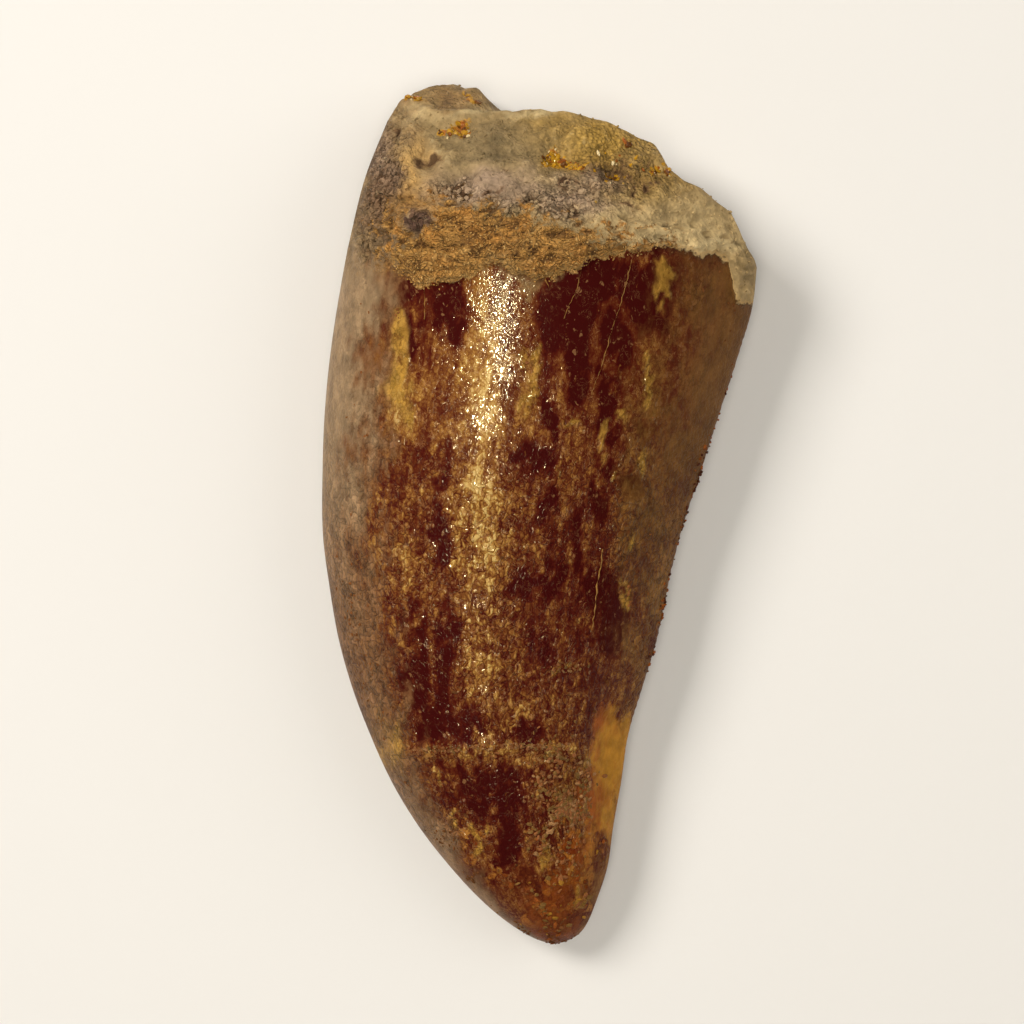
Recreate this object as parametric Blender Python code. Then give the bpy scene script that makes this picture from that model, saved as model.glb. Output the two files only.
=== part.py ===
"""Fossil tooth of a large meat-eating dinosaur: crown, neck and broken root as one solid.

It lies on its inner face. +Y runs from the tip to the root, +X to the serrated rear edge, +Z up.
"""

import bmesh
import bpy
import numpy as np
from mathutils import Vector, noise

MM = 0.001

# Driving dimensions, in millimetres. Heights run from the tip towards the root.
NECK_HEIGHT = 50.0  # above it the rings lean over to meet the broken rim
REST_WEAR = 0.25  # worn off the back face, which leaves the flat that it lies on
TIP_CROWDING = 1.3  # how strongly the rings close up at the tip

# Numbers of faces
SIDE_STEPS = 30
CROWN_RINGS = 50
ROOT_RINGS = 24
CAP_STEPS = 7

# (height, x) of the front and the rear cutting edge
MESIAL_EDGE = (
    (0, 1.4), (1, -1.3), (4, -5.0), (7, -7.7), (10, -10.0), (14, -12.4), (18, -14.2), (22, -15.7),
    (26, -16.8), (30, -17.5), (35, -18.1), (40, -18.1), (45, -17.9), (50, -17.4), (55, -16.6),
    (60, -15.6), (65, -14.3), (69.3, -12.6),
)
DISTAL_EDGE = (
    (0, 1.4), (1, 3.6), (4, 5.0), (7, 5.9), (10, 6.3), (14, 7.0), (18, 7.6), (22, 8.8), (26, 10.0),
    (30, 10.8), (35, 12.0), (40, 13.6), (45, 15.2), (50, 16.8), (54, 17.9), (57, 18.2),
)

# (height, depth) of each face's crest from the plane of the cutting edges
FRONT_DEPTH = (
    (0, 0), (1, 1.35), (4, 2.8), (10, 4.5), (20, 6.4), (35, 8.1), (50, 8.9), (61, 9.0), (73, 8.4),
)
BACK_DEPTH = (
    (0, 0), (1, 1.1), (4, 2.1), (10, 3.3), (20, 4.7), (35, 6.1), (50, 6.9), (61, 6.8), (73, 5.6),
)

# (height, z) of the lowest line of the back face
BACK_LINE = (
    (0, 2.7), (5, 2.1), (12, 1.4), (20, 0.75), (30, 0.15), (38, 0), (52, 0.05), (57, 0.5), (62, 0.9),
    (73, 1.7),
)

# Cross-section: crest position and how round each flank is (0.5 is an ellipse, 1 a sharp edge)
FRONT_CREST, BACK_CREST = -0.15, -0.05
MESIAL_ROUNDNESS, DISTAL_ROUNDNESS = 0.56, 0.82
FRONT_FLATNESS, BACK_FLATNESS = 2, 2.6  # 2 is a round arch, more is flatter on top
EDGE_FADE = 10  # power that lets the relief die out at the cutting edges

# (x, height) of the broken rim, and how far the front rim lies below it
RIM = (
    (-12.6, 69.3), (-11.3, 71.4), (-9.2, 72.3), (-7.2, 72.7), (-5.2, 72.3), (-3.2, 70.5), (-2.2, 69.5),
    (0.1, 70.0), (3.7, 69.3), (7.7, 67.8), (9.3, 67.1), (10.4, 64.9), (11.8, 63.8), (13.8, 62.8),
    (15.8, 61.3), (16.8, 59.2), (18.2, 57.0),
)
FRONT_DROP = (
    (-12.6, 0), (-11, 0.6), (-9.2, 1.7), (-8, 3.0), (-5.2, 3.0), (-3.2, 1.3), (-2.2, 0.4), (18.2, 0),
)

# Front facet of the break, where the root tapers back to the rim
FACET_START = ((-14, 63.5), (-10, 61.8), (-3, 60.6), (3, 59.6), (9, 58.8), (18.2, 57.6))
FACET_SLOPE = 0.62
FACET_EASE = 1.2
FACET_FADE = 0.6  # the facet fades towards the cutting edges

# (x, height) where the enamel ends and where the sandy crust ends, front and back
ENAMEL_END = (
    (-18, 56.4), (-12.5, 56.9), (-9.8, 54.8), (-5.7, 55.4), (-4.1, 56.6), (0.5, 55.2), (3.8, 56.7),
    (7.9, 57.7), (10.2, 58.2), (15.6, 57.4), (16.3, 54.2), (18.2, 53.6),
)
CRUST_END = (
    (-18, 58.0), (-10.5, 61.2), (-7.4, 61.4), (-3.2, 60.2), (1.8, 59.3), (8.2, 58.4), (18.2, 57.6),
)
BACK_ENAMEL_END = ((-18, 56.0), (-11, 55.2), (-5, 56.4), (2, 55.6), (9, 57.0), (18.2, 54.0))
ROOT_STEP = 0.3  # root and crust stand above the enamel
ROOT_EDGE = (-0.2, 0.25)  # where that step starts and ends, from the end of the enamel
CRUST_THICKNESS = 0.45
CRUST_EDGE = (-0.3, 0.7)  # where the crust thins out, from its own end
BACK_CRUST = 0.2
CRUST_GRAIN = 0.24
CRUST_CELL = (1.6, 1.1)  # across, along
ROOT_LUMP, ROOT_CELL, ROOT_SQUASH = 0.42, 2.3, 0.85
ROOT_KNOB, KNOB_CELL = 0.2, 1.25
ROCK_UNDER_CRUST = 0.4  # share of the rock's lumps that shows through the crust

# Lumps and pits of the root's front: x, height, radius across, radius along, rise
ROOT_FORMS = (
    (-9.8, 60.5, 1.0, 1.1, 0.6),
    (-9.1, 65.3, 1.0, 0.9, -0.7),
    (1.4, 65.4, 1.9, 1.2, -0.9),
    (6.3, 64.0, 0.9, 0.9, -0.6),
    (-6.7, 67.9, 1.3, 0.8, -0.5),
    (-7.0, 62.5, 1.6, 0.9, -0.4),
    (3.0, 67.4, 2.4, 1.0, 0.5),
    (9.0, 63.0, 2.0, 1.4, 0.4),
    (13.5, 60.2, 2.2, 1.0, -0.35),
)
RIDGE_X, RIDGE_WIDTH, RIDGE_RISE = -10.4, 0.9, 0.55
RIDGE_SPAN = (56.5, 59.5, 67.5, 69.5)

# Crown: a cross wrinkle, a chip out of the rear edge and soft lengthwise waves
WRINKLE = ((-12, 16.6), (-5.4, 17.2), (-3, 17.4), (0.4, 17.2), (3.5, 16.6))
WRINKLE_WIDTH, WRINKLE_RISE = 0.55, 0.22
WRINKLE_SPAN = (-12.5, -10.5, 2.5, 4.5)  # x where it starts and dies out
CHIP = (5.9, 16.4, 1.9, 4.6, -0.55)
WAVE_RISE, WAVE_ACROSS, WAVE_ALONG = 0.14, 3.2, 22.0

# Broken end: roughness, the step up behind the front rim, and the shallow hollow where the pulp was
BREAK_LUMP, BREAK_CELL = 0.8, 2.2
KNOB_STEP = (0.12, 0.6)  # where the step starts and ends, as shares of the way to the back rim
HOLLOW_X, HOLLOW_RADIUS, HOLLOW_DEPTH = 3.5, 5.5, 1.3

# Which patch of the noise each relief reads
FRONT_WAVE_SEED, FRONT_ROCK_SEED, BACK_WAVE_SEED, BACK_ROCK_SEED = 3, 7, 11, 17

ENAMEL_COLOR, ENAMEL_ROUGHNESS = (0.14, 0.065, 0.027, 1), 0.42


def through(table, at):
    """A smooth curve through the table's points, eased for a round tip."""
    place, value = np.array(table, float).T
    place, at = np.sqrt(place), np.sqrt(at)
    slope = np.gradient(value, place)
    i = np.clip(np.searchsorted(place, at) - 1, 0, len(place) - 2)
    gap = place[i + 1] - place[i]
    t = np.clip((at - place[i]) / gap, 0, 1)
    rise = value[i] * (1 + 2 * t) * (1 - t) ** 2 + value[i + 1] * t * t * (3 - 2 * t)
    return rise + gap * (slope[i] * t * (1 - t) ** 2 - slope[i + 1] * t * t * (1 - t))


def along(table, at):
    """Straight lines between the table's points."""
    place, value = np.array(table, float).T
    return np.interp(at, place, value)


def ease(low, high, at):
    t = np.clip((at - low) / (high - low), 0, 1)
    return t * t * (3 - 2 * t)


def spot(x, height, form):
    cx, ch, across, lengthwise, rise = form
    return rise * np.exp(-(((x - cx) / across) ** 2) - ((height - ch) / lengthwise) ** 2)


def grain(x, y, z):
    """Smooth noise between -1 and 1 at each point."""
    flat = zip(np.ravel(x), np.ravel(y), np.ravel(z))
    return np.array([noise.noise(Vector(point)) for point in flat]).reshape(np.shape(x))


def crest_shape(u, crest, bend):
    """1 at the crest and 0 at both cutting edges."""
    out = np.where(u < crest, (crest - u) / (1 + crest), (u - crest) / (1 - crest))
    power = np.where(u < crest, MESIAL_ROUNDNESS, DISTAL_ROUNDNESS)
    return np.clip(1 - out**bend, 0, 1) ** power


def ring_places():
    """u across the tooth, x and height of each point of one side, ring by ring from the tip."""
    u = -np.cos(np.linspace(0, np.pi, SIDE_STEPS + 1))
    rise = NECK_HEIGHT * (np.arange(1, CROWN_RINGS + 1) / CROWN_RINGS) ** TIP_CROWDING
    left, right = through(MESIAL_EDGE, rise), through(DISTAL_EDGE, rise)
    x = left[:, None] + (right - left)[:, None] * (u + 1) / 2
    height = np.repeat(rise[:, None], len(u), axis=1)

    lean = np.arange(1, ROOT_RINGS + 1)[:, None] / ROOT_RINGS
    left_top, right_top = MESIAL_EDGE[-1][0], DISTAL_EDGE[-1][0]
    left = through(MESIAL_EDGE, NECK_HEIGHT + lean * (left_top - NECK_HEIGHT))
    right = through(DISTAL_EDGE, NECK_HEIGHT + lean * (right_top - NECK_HEIGHT))
    root_x = left + (right - left) * (u + 1) / 2
    return u, np.vstack([x, root_x]), height, root_x[-1], lean


def leaned(height, rim, lean):
    """The crown's rings with the root's above them, each column running up to its rim height."""
    return np.vstack([height, NECK_HEIGHT + lean * (rim - NECK_HEIGHT)])


def rock(x, height, seed):
    """Coarse lumps and smaller knobs of the root."""
    coarse = grain(x / ROOT_CELL, height / (ROOT_SQUASH * ROOT_CELL), 0 * x + seed)
    return ROOT_LUMP * coarse + ROOT_KNOB * grain(x / KNOB_CELL, height / KNOB_CELL, 0 * x + seed)


def front_relief(x, height, u):
    """How far the front stands out from the smooth tooth."""
    root = ease(*ROOT_EDGE, height - along(ENAMEL_END, x))
    crust = root * (1 - ease(*CRUST_EDGE, height - along(CRUST_END, x)))
    sand = 1 + CRUST_GRAIN / CRUST_THICKNESS * grain(x / CRUST_CELL[0], height / CRUST_CELL[1], 0 * x)
    rise = ROOT_STEP * root + CRUST_THICKNESS * crust * sand
    rise += root * (1 - (1 - ROCK_UNDER_CRUST) * crust) * rock(x, height, FRONT_ROCK_SEED)
    for form in ROOT_FORMS:
        rise += spot(x, height, form)
    span = ease(*RIDGE_SPAN[:2], height) * (1 - ease(*RIDGE_SPAN[2:], height))
    rise += RIDGE_RISE * span * np.exp(-(((x - RIDGE_X) / RIDGE_WIDTH) ** 2))
    fold = (height - along(WRINKLE, x)) / WRINKLE_WIDTH
    ends = ease(*WRINKLE_SPAN[:2], x) * (1 - ease(*WRINKLE_SPAN[2:], x))
    rise += WRINKLE_RISE * ends * np.exp(-(fold**2)) + spot(x, height, CHIP)
    rise += WAVE_RISE * grain(x / WAVE_ACROSS, height / WAVE_ALONG, 0 * x + FRONT_WAVE_SEED)
    return rise * (1 - np.abs(u) ** EDGE_FADE)


def back_relief(x, height, u):
    """The same for the back, which has neither wrinkle nor chip."""
    root = ease(*ROOT_EDGE, height - along(BACK_ENAMEL_END, x))
    rise = root * (ROOT_STEP + BACK_CRUST + rock(x, height, BACK_ROCK_SEED))
    rise += WAVE_RISE * grain(x / WAVE_ACROSS, height / WAVE_ALONG, 0 * x + BACK_WAVE_SEED)
    return rise * (1 - np.abs(u) ** EDGE_FADE)


def mid_plane(height):
    """z of the plane that holds both cutting edges."""
    return through(BACK_LINE, height) + through(BACK_DEPTH, height)


def front_face(u, x, height):
    crest = crest_shape(u, FRONT_CREST, FRONT_FLATNESS)
    past = height - along(FACET_START, x)
    bend = np.clip(past, 0, FACET_EASE)
    taper = FACET_SLOPE * (bend**2 / (2 * FACET_EASE) + np.clip(past - FACET_EASE, 0, None))
    return mid_plane(height) + through(FRONT_DEPTH, height) * crest - taper * crest**FACET_FADE


def back_face(u, height):
    return mid_plane(height) - through(BACK_DEPTH, height) * crest_shape(u, BACK_CREST, BACK_FLATNESS)


def cap_points(front, back):
    """The broken end, bridged from the front rim to the back rim."""
    rows = []
    for k in range(1, CAP_STEPS):
        part = k / CAP_STEPS
        row = front + (back - front) * part
        x, height, z = row.T
        top = along(RIM, x)
        height = front[:, 1] + (back[:, 1] - front[:, 1]) * ease(*KNOB_STEP, part)
        arch = np.sin(np.pi * part)
        hollow = HOLLOW_DEPTH * arch**2 * np.exp(-(((x - HOLLOW_X) / HOLLOW_RADIUS) ** 2))
        rough = BREAK_LUMP * arch * grain(x / BREAK_CELL, height / BREAK_CELL, z / BREAK_CELL)
        height = np.minimum(height - hollow + rough, top)
        rows.append(np.column_stack([x, height, z]))
    return rows


def pushed_out(points, relief, upward):
    """Moves each point along the surface's normal by the relief there."""
    across, lengthwise = np.gradient(points, axis=1), np.gradient(points, axis=0)
    normal = np.cross(across, lengthwise)
    normal *= upward * np.sign(normal[..., 2:].sum())
    size = np.linalg.norm(normal, axis=2, keepdims=True)
    return points + relief[..., None] * normal / np.maximum(size, 1e-9)


def tooth_mesh():
    """One closed skin: two faces sharing the cutting edges, a fan at the tip and the broken end."""
    u, x, crown_height, rim_x, lean = ring_places()
    rim = along(RIM, rim_x)
    wide = np.broadcast_to(u, x.shape)
    height = leaned(crown_height, rim - along(FRONT_DROP, rim_x), lean)
    front = np.dstack([x, height, front_face(wide, x, height)])
    front = pushed_out(front, front_relief(x, height, wide), 1)
    height = leaned(crown_height, rim, lean)
    back = np.dstack([x, height, back_face(wide, height)])
    back = pushed_out(back, back_relief(x, height, wide), -1)
    back[:, 0], back[:, -1] = front[:, 0], front[:, -1]

    bm = bmesh.new()

    def add(point):
        px, ph, pz = point
        return bm.verts.new((px * MM, ph * MM, max(pz - REST_WEAR, 0) * MM))

    last = SIDE_STEPS
    rings = []
    for front_row, back_row in zip(front, back):
        over = [add(point) for point in front_row]
        rings.append(over + [add(point) for point in back_row[last - 1:0:-1]])
    tip = add((MESIAL_EDGE[0][1], 0, BACK_LINE[0][1]))
    around = len(rings[0])
    for j in range(around):
        bm.faces.new((tip, rings[0][j], rings[0][(j + 1) % around]))
    for low, high in zip(rings, rings[1:]):
        for j in range(around):
            nxt = (j + 1) % around
            bm.faces.new((low[j], high[j], high[nxt], low[nxt]))

    top = rings[-1]
    strips = [top[: last + 1]]
    for row in cap_points(front[-1], back[-1]):
        strips.append([top[0]] + [add(point) for point in row[1:-1]] + [top[last]])
    strips.append([top[0]] + top[:last:-1] + [top[last]])
    for near, far in zip(strips, strips[1:]):
        for j in range(last):
            corners = [near[j], near[j + 1], far[j + 1], far[j]]
            bm.faces.new(list(dict.fromkeys(corners)))
    bmesh.ops.recalc_face_normals(bm, faces=bm.faces)
    mesh = bpy.data.meshes.new("tooth")
    bm.to_mesh(mesh)
    bm.free()
    return mesh


def centred(mesh):
    """Puts the origin at the centre of the bounding box's underside."""
    points = np.array([vert.co for vert in mesh.vertices])
    low, high = points.min(axis=0), points.max(axis=0)
    for vert in mesh.vertices:
        vert.co -= Vector(((low[0] + high[0]) / 2, (low[1] + high[1]) / 2, low[2]))


def enamel_material():
    material = bpy.data.materials.new("fossil_enamel")
    material.use_nodes = True
    surface = material.node_tree.nodes["Principled BSDF"]
    surface.inputs["Base Color"].default_value = ENAMEL_COLOR
    surface.inputs["Roughness"].default_value = ENAMEL_ROUGHNESS
    surface.inputs["Metallic"].default_value = 0
    return material


def build():
    for old in list(bpy.data.objects):
        bpy.data.objects.remove(old, do_unlink=True)
    collection = bpy.data.collections.new("carcharodontosaurid_tooth")
    bpy.context.scene.collection.children.link(collection)
    mesh = tooth_mesh()
    centred(mesh)
    mesh.materials.append(enamel_material())
    mesh.shade_smooth()
    collection.objects.link(bpy.data.objects.new("tooth", mesh))


build()
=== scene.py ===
import math
import bpy
import numpy as np
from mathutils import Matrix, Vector, noise
from mathutils.bvhtree import BVHTree


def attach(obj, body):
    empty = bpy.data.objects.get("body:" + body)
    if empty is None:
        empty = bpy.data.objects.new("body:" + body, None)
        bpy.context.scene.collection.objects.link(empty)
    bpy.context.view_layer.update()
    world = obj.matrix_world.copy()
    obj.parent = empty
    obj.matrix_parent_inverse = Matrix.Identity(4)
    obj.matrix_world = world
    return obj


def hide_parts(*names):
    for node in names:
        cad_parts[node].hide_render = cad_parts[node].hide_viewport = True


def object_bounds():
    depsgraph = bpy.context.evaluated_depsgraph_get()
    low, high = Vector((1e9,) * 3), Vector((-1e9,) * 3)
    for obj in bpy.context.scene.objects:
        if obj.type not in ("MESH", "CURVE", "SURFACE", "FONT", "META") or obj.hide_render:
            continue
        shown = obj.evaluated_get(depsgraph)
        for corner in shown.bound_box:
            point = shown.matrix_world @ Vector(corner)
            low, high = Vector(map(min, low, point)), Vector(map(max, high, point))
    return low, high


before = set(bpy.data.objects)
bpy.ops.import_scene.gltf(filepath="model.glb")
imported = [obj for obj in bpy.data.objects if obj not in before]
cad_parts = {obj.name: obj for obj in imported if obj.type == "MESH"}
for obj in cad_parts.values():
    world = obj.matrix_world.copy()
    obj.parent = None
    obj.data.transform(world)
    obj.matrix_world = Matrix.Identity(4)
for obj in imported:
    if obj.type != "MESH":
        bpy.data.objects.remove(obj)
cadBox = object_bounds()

scene = bpy.context.scene
mm = 0.001
print("tooth frame loaded")

# outline and section, the same values as the solid: mm, heights from the tip
toothForm = {
    "mesialEdge": ((0, 1.4), (1, -1.3), (4, -5.0), (7, -7.7), (10, -10.0), (14, -12.4), (18, -14.2),
                   (22, -15.7), (26, -16.8), (30, -17.5), (35, -18.1), (40, -18.1), (45, -17.9),
                   (50, -17.4), (55, -16.6), (60, -15.6), (65, -14.3), (69.3, -12.6)),
    "distalEdge": ((0, 1.4), (1, 3.6), (4, 5.0), (7, 5.9), (10, 6.3), (14, 7.0), (18, 7.6), (22, 8.8),
                   (26, 10.0), (30, 10.8), (35, 12.0), (40, 13.6), (45, 15.2), (50, 16.8), (54, 17.9),
                   (57, 18.2)),
    "frontDepth": ((0, 0), (1, 1.35), (4, 2.8), (10, 4.5), (20, 6.4), (35, 8.1), (50, 8.9),
                   (61, 9.0), (73, 8.4)),
    "backDepth": ((0, 0), (1, 1.1), (4, 2.1), (10, 3.3), (20, 4.7), (35, 6.1), (50, 6.9),
                  (61, 6.8), (73, 5.6)),
    "backLine": ((0, 2.7), (5, 2.1), (12, 1.4), (20, 0.75), (30, 0.15), (38, 0), (52, 0.05), (57, 0.5),
                 (62, 0.9), (73, 1.7)),
    "neck": 50.0, "tipCrowding": 1.3, "restWear": 0.25,
    "frontCrest": -0.15, "backCrest": -0.05, "mesialRound": 0.56, "distalRound": 0.82, "backFlat": 2.6,
    "sideSteps": 162, "crownRings": 160, "rootRings": 130, "capSteps": 14,
}
brokenRim = {
    "rim": ((-12.6, 69.3), (-11.3, 71.4), (-9.2, 72.3), (-7.2, 72.7), (-5.2, 72.3), (-3.2, 70.5),
            (-2.2, 69.5), (0.1, 70.0), (3.7, 69.3), (7.7, 67.8), (9.3, 67.1), (10.4, 64.9), (11.8, 63.8),
            (13.8, 62.8), (15.8, 61.3), (16.8, 59.2), (18.2, 57.0)),
    "frontDrop": ((-12.6, 0), (-11, 0.6), (-9.2, 1.7), (-8, 3.0), (-5.2, 3.0), (-3.2, 1.3),
                  (-2.2, 0.4), (18.2, 0)),
    "facetStart": ((-14, 63.5), (-10, 61.8), (-3, 60.6), (3, 59.6), (9, 58.8), (18.2, 57.6)),
    "facetSlope": 0.62, "facetEase": 1.2, "facetFade": 0.6,
    "lumps": ((0.8, 2.2), (0.18, 0.9)), "knobStep": (0.12, 0.6), "hollow": (3.5, 5.5, 1.3),
    "calm": (-1.1, -0.1, 0.85),     # fine relief dies out between these heights under the rim, by so much
}
neckCrust = {
    "enamelEnd": ((-18, 56.4), (-12.5, 56.9), (-9.8, 54.8), (-5.7, 55.4), (-4.1, 56.6), (0.5, 55.2),
                  (3.8, 56.7), (7.9, 57.7), (10.2, 58.2), (15.6, 57.4), (16.3, 54.2), (18.2, 53.6)),
    "crustEnd": ((-18, 58.0), (-10.5, 61.2), (-7.4, 61.4), (-3.2, 60.2), (1.8, 59.3), (8.2, 58.4),
                 (18.2, 57.6)),
    "backEnamelEnd": ((-18, 56.0), (-11, 55.2), (-5, 56.4), (2, 55.6), (9, 57.0), (18.2, 54.0)),
    "step": 0.3, "thickness": 0.45, "backThickness": 0.2, "grain": 0.24, "grainCell": (1.6, 1.1),
    "lump": 0.42, "lumpCell": 2.3, "lumpSquash": 0.85, "knob": 0.2, "knobCell": 1.25,
    # mm past a border line between which one surface turns into the next, and x where the step starts
    "rootBlend": (-0.2, 0.25), "crustRise": (-0.2, 1.6), "crustFade": (-0.3, 0.7),
    "stepBlend": (-0.35, 0.5), "stepStart": (-14.5, -11.5),
}
# x, height, radius across, radius along, rise
rootForms = (
    (-9.8, 60.5, 1.0, 1.1, 0.6), (-9.1, 65.3, 1.0, 0.9, -0.7), (1.4, 65.4, 1.9, 1.2, -0.9),
    (6.3, 64.0, 0.9, 0.9, -0.6), (-6.7, 67.9, 1.3, 0.8, -0.5), (-7.0, 62.5, 1.6, 0.9, -0.4),
    (3.0, 67.4, 2.4, 1.0, 0.5), (9.0, 63.0, 2.0, 1.4, 0.4), (13.5, 60.2, 2.2, 1.0, -0.35),
)
rootRidge = {"x": -10.4, "width": 0.9, "rise": 0.55, "span": (56.5, 59.5, 67.5, 69.5)}
crownForms = {
    "wrinkle": ((-12, 16.6), (-5.4, 17.2), (-3, 17.4), (0.4, 17.2), (3.5, 16.6)),
    "wrinkleWidth": 0.55, "wrinkleRise": 0.22, "wrinkleSpan": (-12.5, -10.5, 2.5, 4.5),
    "chip": (5.9, 16.4, 1.9, 4.6, -0.55),
    "wave": 0.14, "waveAcross": 3.2, "waveAlong": 22.0,
}
# fine relief that only the dressed tooth has, in mm; puffs are swell and base, bays are reach and
# how many to a mm, a span is where something starts, is full, begins to fade and ends
fineRelief = {
    "grit": 0.33, "gritCell": 1.0, "gritShares": (0.9, 0.4), "finer": 2.1,
    "ripple": 0.5, "rippleCell": (1.3, 0.85), "rippleTop": 0.45, "puffs": ((2, 0.4), (0.8, 0.16)),
    "warp": (0.6, 0.5), "warpCell": 1.3,
    "knobbly": 0.34, "knobblyCell": 0.8, "knobblyEnd": (-11.4, -9.8),
    "sugar": 0.26, "sugarCell": 0.7, "sugarStart": ((0, 2), (61.5, 63)),
    "slot": 0.5, "slotCell": (1.1, 0.5), "slotSpan": (-0.5, 0.6, 2.2, 3.4), "slotStart": 0.12,
    "pit": 0.22, "pitEdge": (-0.15, 0.6), "bays": ((0.5, 0.8), (0.275, 2.3)),
    "crest": (((-10, 69.9), (-7.9, 69.4), (-4.6, 69.2), (-2.0, 69.0)), 0.35, 0.3),
    "crestSpan": (-10.2, -9.2, -2.6, -1.6), "squarePit": (-10.2, 48.3, 0.38, 0.5, -0.3),
}
serration = {
    "depth": 0.1, "pitch": 0.62, "drift": 2.5, "driftCell": 3, "edge": 0.985,
    "span": (9, 22, 50, 54), "wear": (0.55, 0.9), "wearCell": 1.7,
}
edgePower = 10      # how close to its two edges the relief of a face dies out
# where each noise is read, so that no two look alike
seeds = {
    "frontNeck": 50, "backNeck": 60, "rootDrift": 90, "crownDrift": 70, "frontGrit": 31, "backGrit": 41,
    "frontRock": 7, "backRock": 17, "frontWave": 3, "backWave": 11, "knobbly": 12, "sugar": 14,
    "slot": 23, "warp": (44, 47), "puffs": (5, 6), "wear": 4, "bands": (80, 84), "clumps": 100,
    "threads": (150, 152, 160), "backMarks": 12, "grains": 200,
}
# x, height, radius across, radius along: pits and amber pockets in the broken root
darkMarks = (
    (-9.1, 65.3, 0.8, 0.6), (-8.8, 65.0, 0.6, 0.45), (6.3, 64.3, 0.6, 0.45), (4.6, 64.9, 0.4, 0.3),
    (5.3, 63.3, 0.55, 0.35), (7.7, 64.2, 0.45, 0.35), (3.2, 63.7, 0.5, 0.3), (8.1, 62.8, 0.5, 0.3),
    (-7.4, 62.6, 1.0, 0.35), (-3.4, 62.5, 1.3, 0.3), (-0.6, 61.1, 1.6, 0.3), (2.4, 60.8, 0.9, 0.3),
    (-12.3, 66.5, 0.5, 0.4), (-12.6, 61.6, 0.5, 0.4), (-13.3, 64.0, 0.4, 0.5), (-3.0, 64.2, 0.8, 0.25),
    (1.9, 62.9, 0.8, 0.25), (-11.6, 68.3, 0.5, 0.3), (7.4, 61.7, 0.8, 0.25), (-6.2, 60.9, 1.0, 0.25),
    (8.9, 65.2, 0.4, 0.3), (9.4, 63.3, 0.5, 0.3),
)
amberMarks = (
    (1.4, 65.4, 1.2, 0.8), (3.2, 64.7, 1.0, 0.45), (-6.7, 67.9, 1.1, 0.6), (-5.5, 71.2, 0.65, 0.6),
    (-11.0, 71.2, 1.3, 0.5), (7.0, 66.9, 0.35, 0.3), (9.9, 64.6, 0.4, 0.4), (5.4, 63.9, 0.4, 0.3),
)


def through(table, at):
    place, value = np.array(table, float).T
    place, at = np.sqrt(place), np.sqrt(at)
    slope = np.gradient(value, place)
    i = np.clip(np.searchsorted(place, at) - 1, 0, len(place) - 2)
    gap = place[i + 1] - place[i]
    t = np.clip((at - place[i]) / gap, 0, 1)
    rise = value[i] * (1 + 2 * t) * (1 - t) ** 2 + value[i + 1] * t * t * (3 - 2 * t)
    return rise + gap * (slope[i] * t * (1 - t) ** 2 - slope[i + 1] * t * t * (1 - t))


def along(table, at):
    place, value = np.array(table, float).T
    return np.interp(at, place, value)


def ease(low, high, at):
    t = np.clip((at - low) / (high - low), 0, 1)
    return t * t * (3 - 2 * t)


def spot(x, height, form):
    cx, ch, across, lengthwise, rise = form
    return rise * np.exp(-(((x - cx) / across) ** 2) - ((height - ch) / lengthwise) ** 2)


def grain(x, y, z):
    flat = zip(np.ravel(x), np.ravel(y), np.ravel(z))
    return np.array([noise.noise(Vector(p)) for p in flat]).reshape(np.shape(x))


def grained(x, height, cell, seed, finer=1):
    # noise over a face; the cell is the size of its lumps in mm, or that across and along
    across, lengthwise = cell if isinstance(cell, tuple) else (cell, cell)
    return grain(x / across * finer, height / lengthwise * finer, 0 * x + seed)


def within(span, at):
    # rises over the first two values of a span and falls over the last two
    return ease(span[0], span[1], at) * (1 - ease(span[2], span[3], at))


def crestShape(u, crest, bend):
    out = np.where(u < crest, (crest - u) / (1 + crest), (u - crest) / (1 - crest))
    power = np.where(u < crest, toothForm["mesialRound"], toothForm["distalRound"])
    return np.clip(1 - out**bend, 0, 1) ** power


def ringPlaces():
    f = toothForm
    u = -np.cos(np.linspace(0, np.pi, f["sideSteps"] + 1))
    rise = f["neck"] * (np.arange(1, f["crownRings"] + 1) / f["crownRings"]) ** f["tipCrowding"]
    left, right = through(f["mesialEdge"], rise), through(f["distalEdge"], rise)
    x = left[:, None] + (right - left)[:, None] * (u + 1) / 2
    height = np.repeat(rise[:, None], len(u), axis=1)
    lean = np.arange(1, f["rootRings"] + 1)[:, None] / f["rootRings"]
    left = through(f["mesialEdge"], f["neck"] + lean * (f["mesialEdge"][-1][0] - f["neck"]))
    right = through(f["distalEdge"], f["neck"] + lean * (f["distalEdge"][-1][0] - f["neck"]))
    rootX = left + (right - left) * (u + 1) / 2
    return u, np.vstack([x, rootX]), height, rootX[-1], lean


def leaned(height, rim, lean):
    return np.vstack([height, toothForm["neck"] + lean * (rim - toothForm["neck"])])


def rock(x, height, seed):
    c = neckCrust
    coarse = grained(x, height, (c["lumpCell"], c["lumpSquash"] * c["lumpCell"]), seed)
    return c["lump"] * coarse + c["knob"] * grained(x, height, c["knobCell"], seed)


def markField(x, height, marks):
    # 1 in the middle of a mark, 0 on its edge, below 0 outside
    field = np.full(np.shape(x), -1.0)
    for mx, mh, rx, rh in marks:
        field = np.maximum(field, 1 - np.hypot((x - mx) / rx, (height - mh) / rh))
    return field


def drifted(x, height, seed, sizes):
    # shifts the places by two sizes of noise, so that round marks get ragged
    dx, dh = 0 * x, 0 * x
    for across, lengthwise, cell, stretch in sizes:
        cells = (cell, cell * stretch)
        dx = dx + across * grained(x, height, cells, seed)
        dh = dh + lengthwise * grained(x, height, cells, seed + 5)
    return x + dx, height + dh


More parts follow.
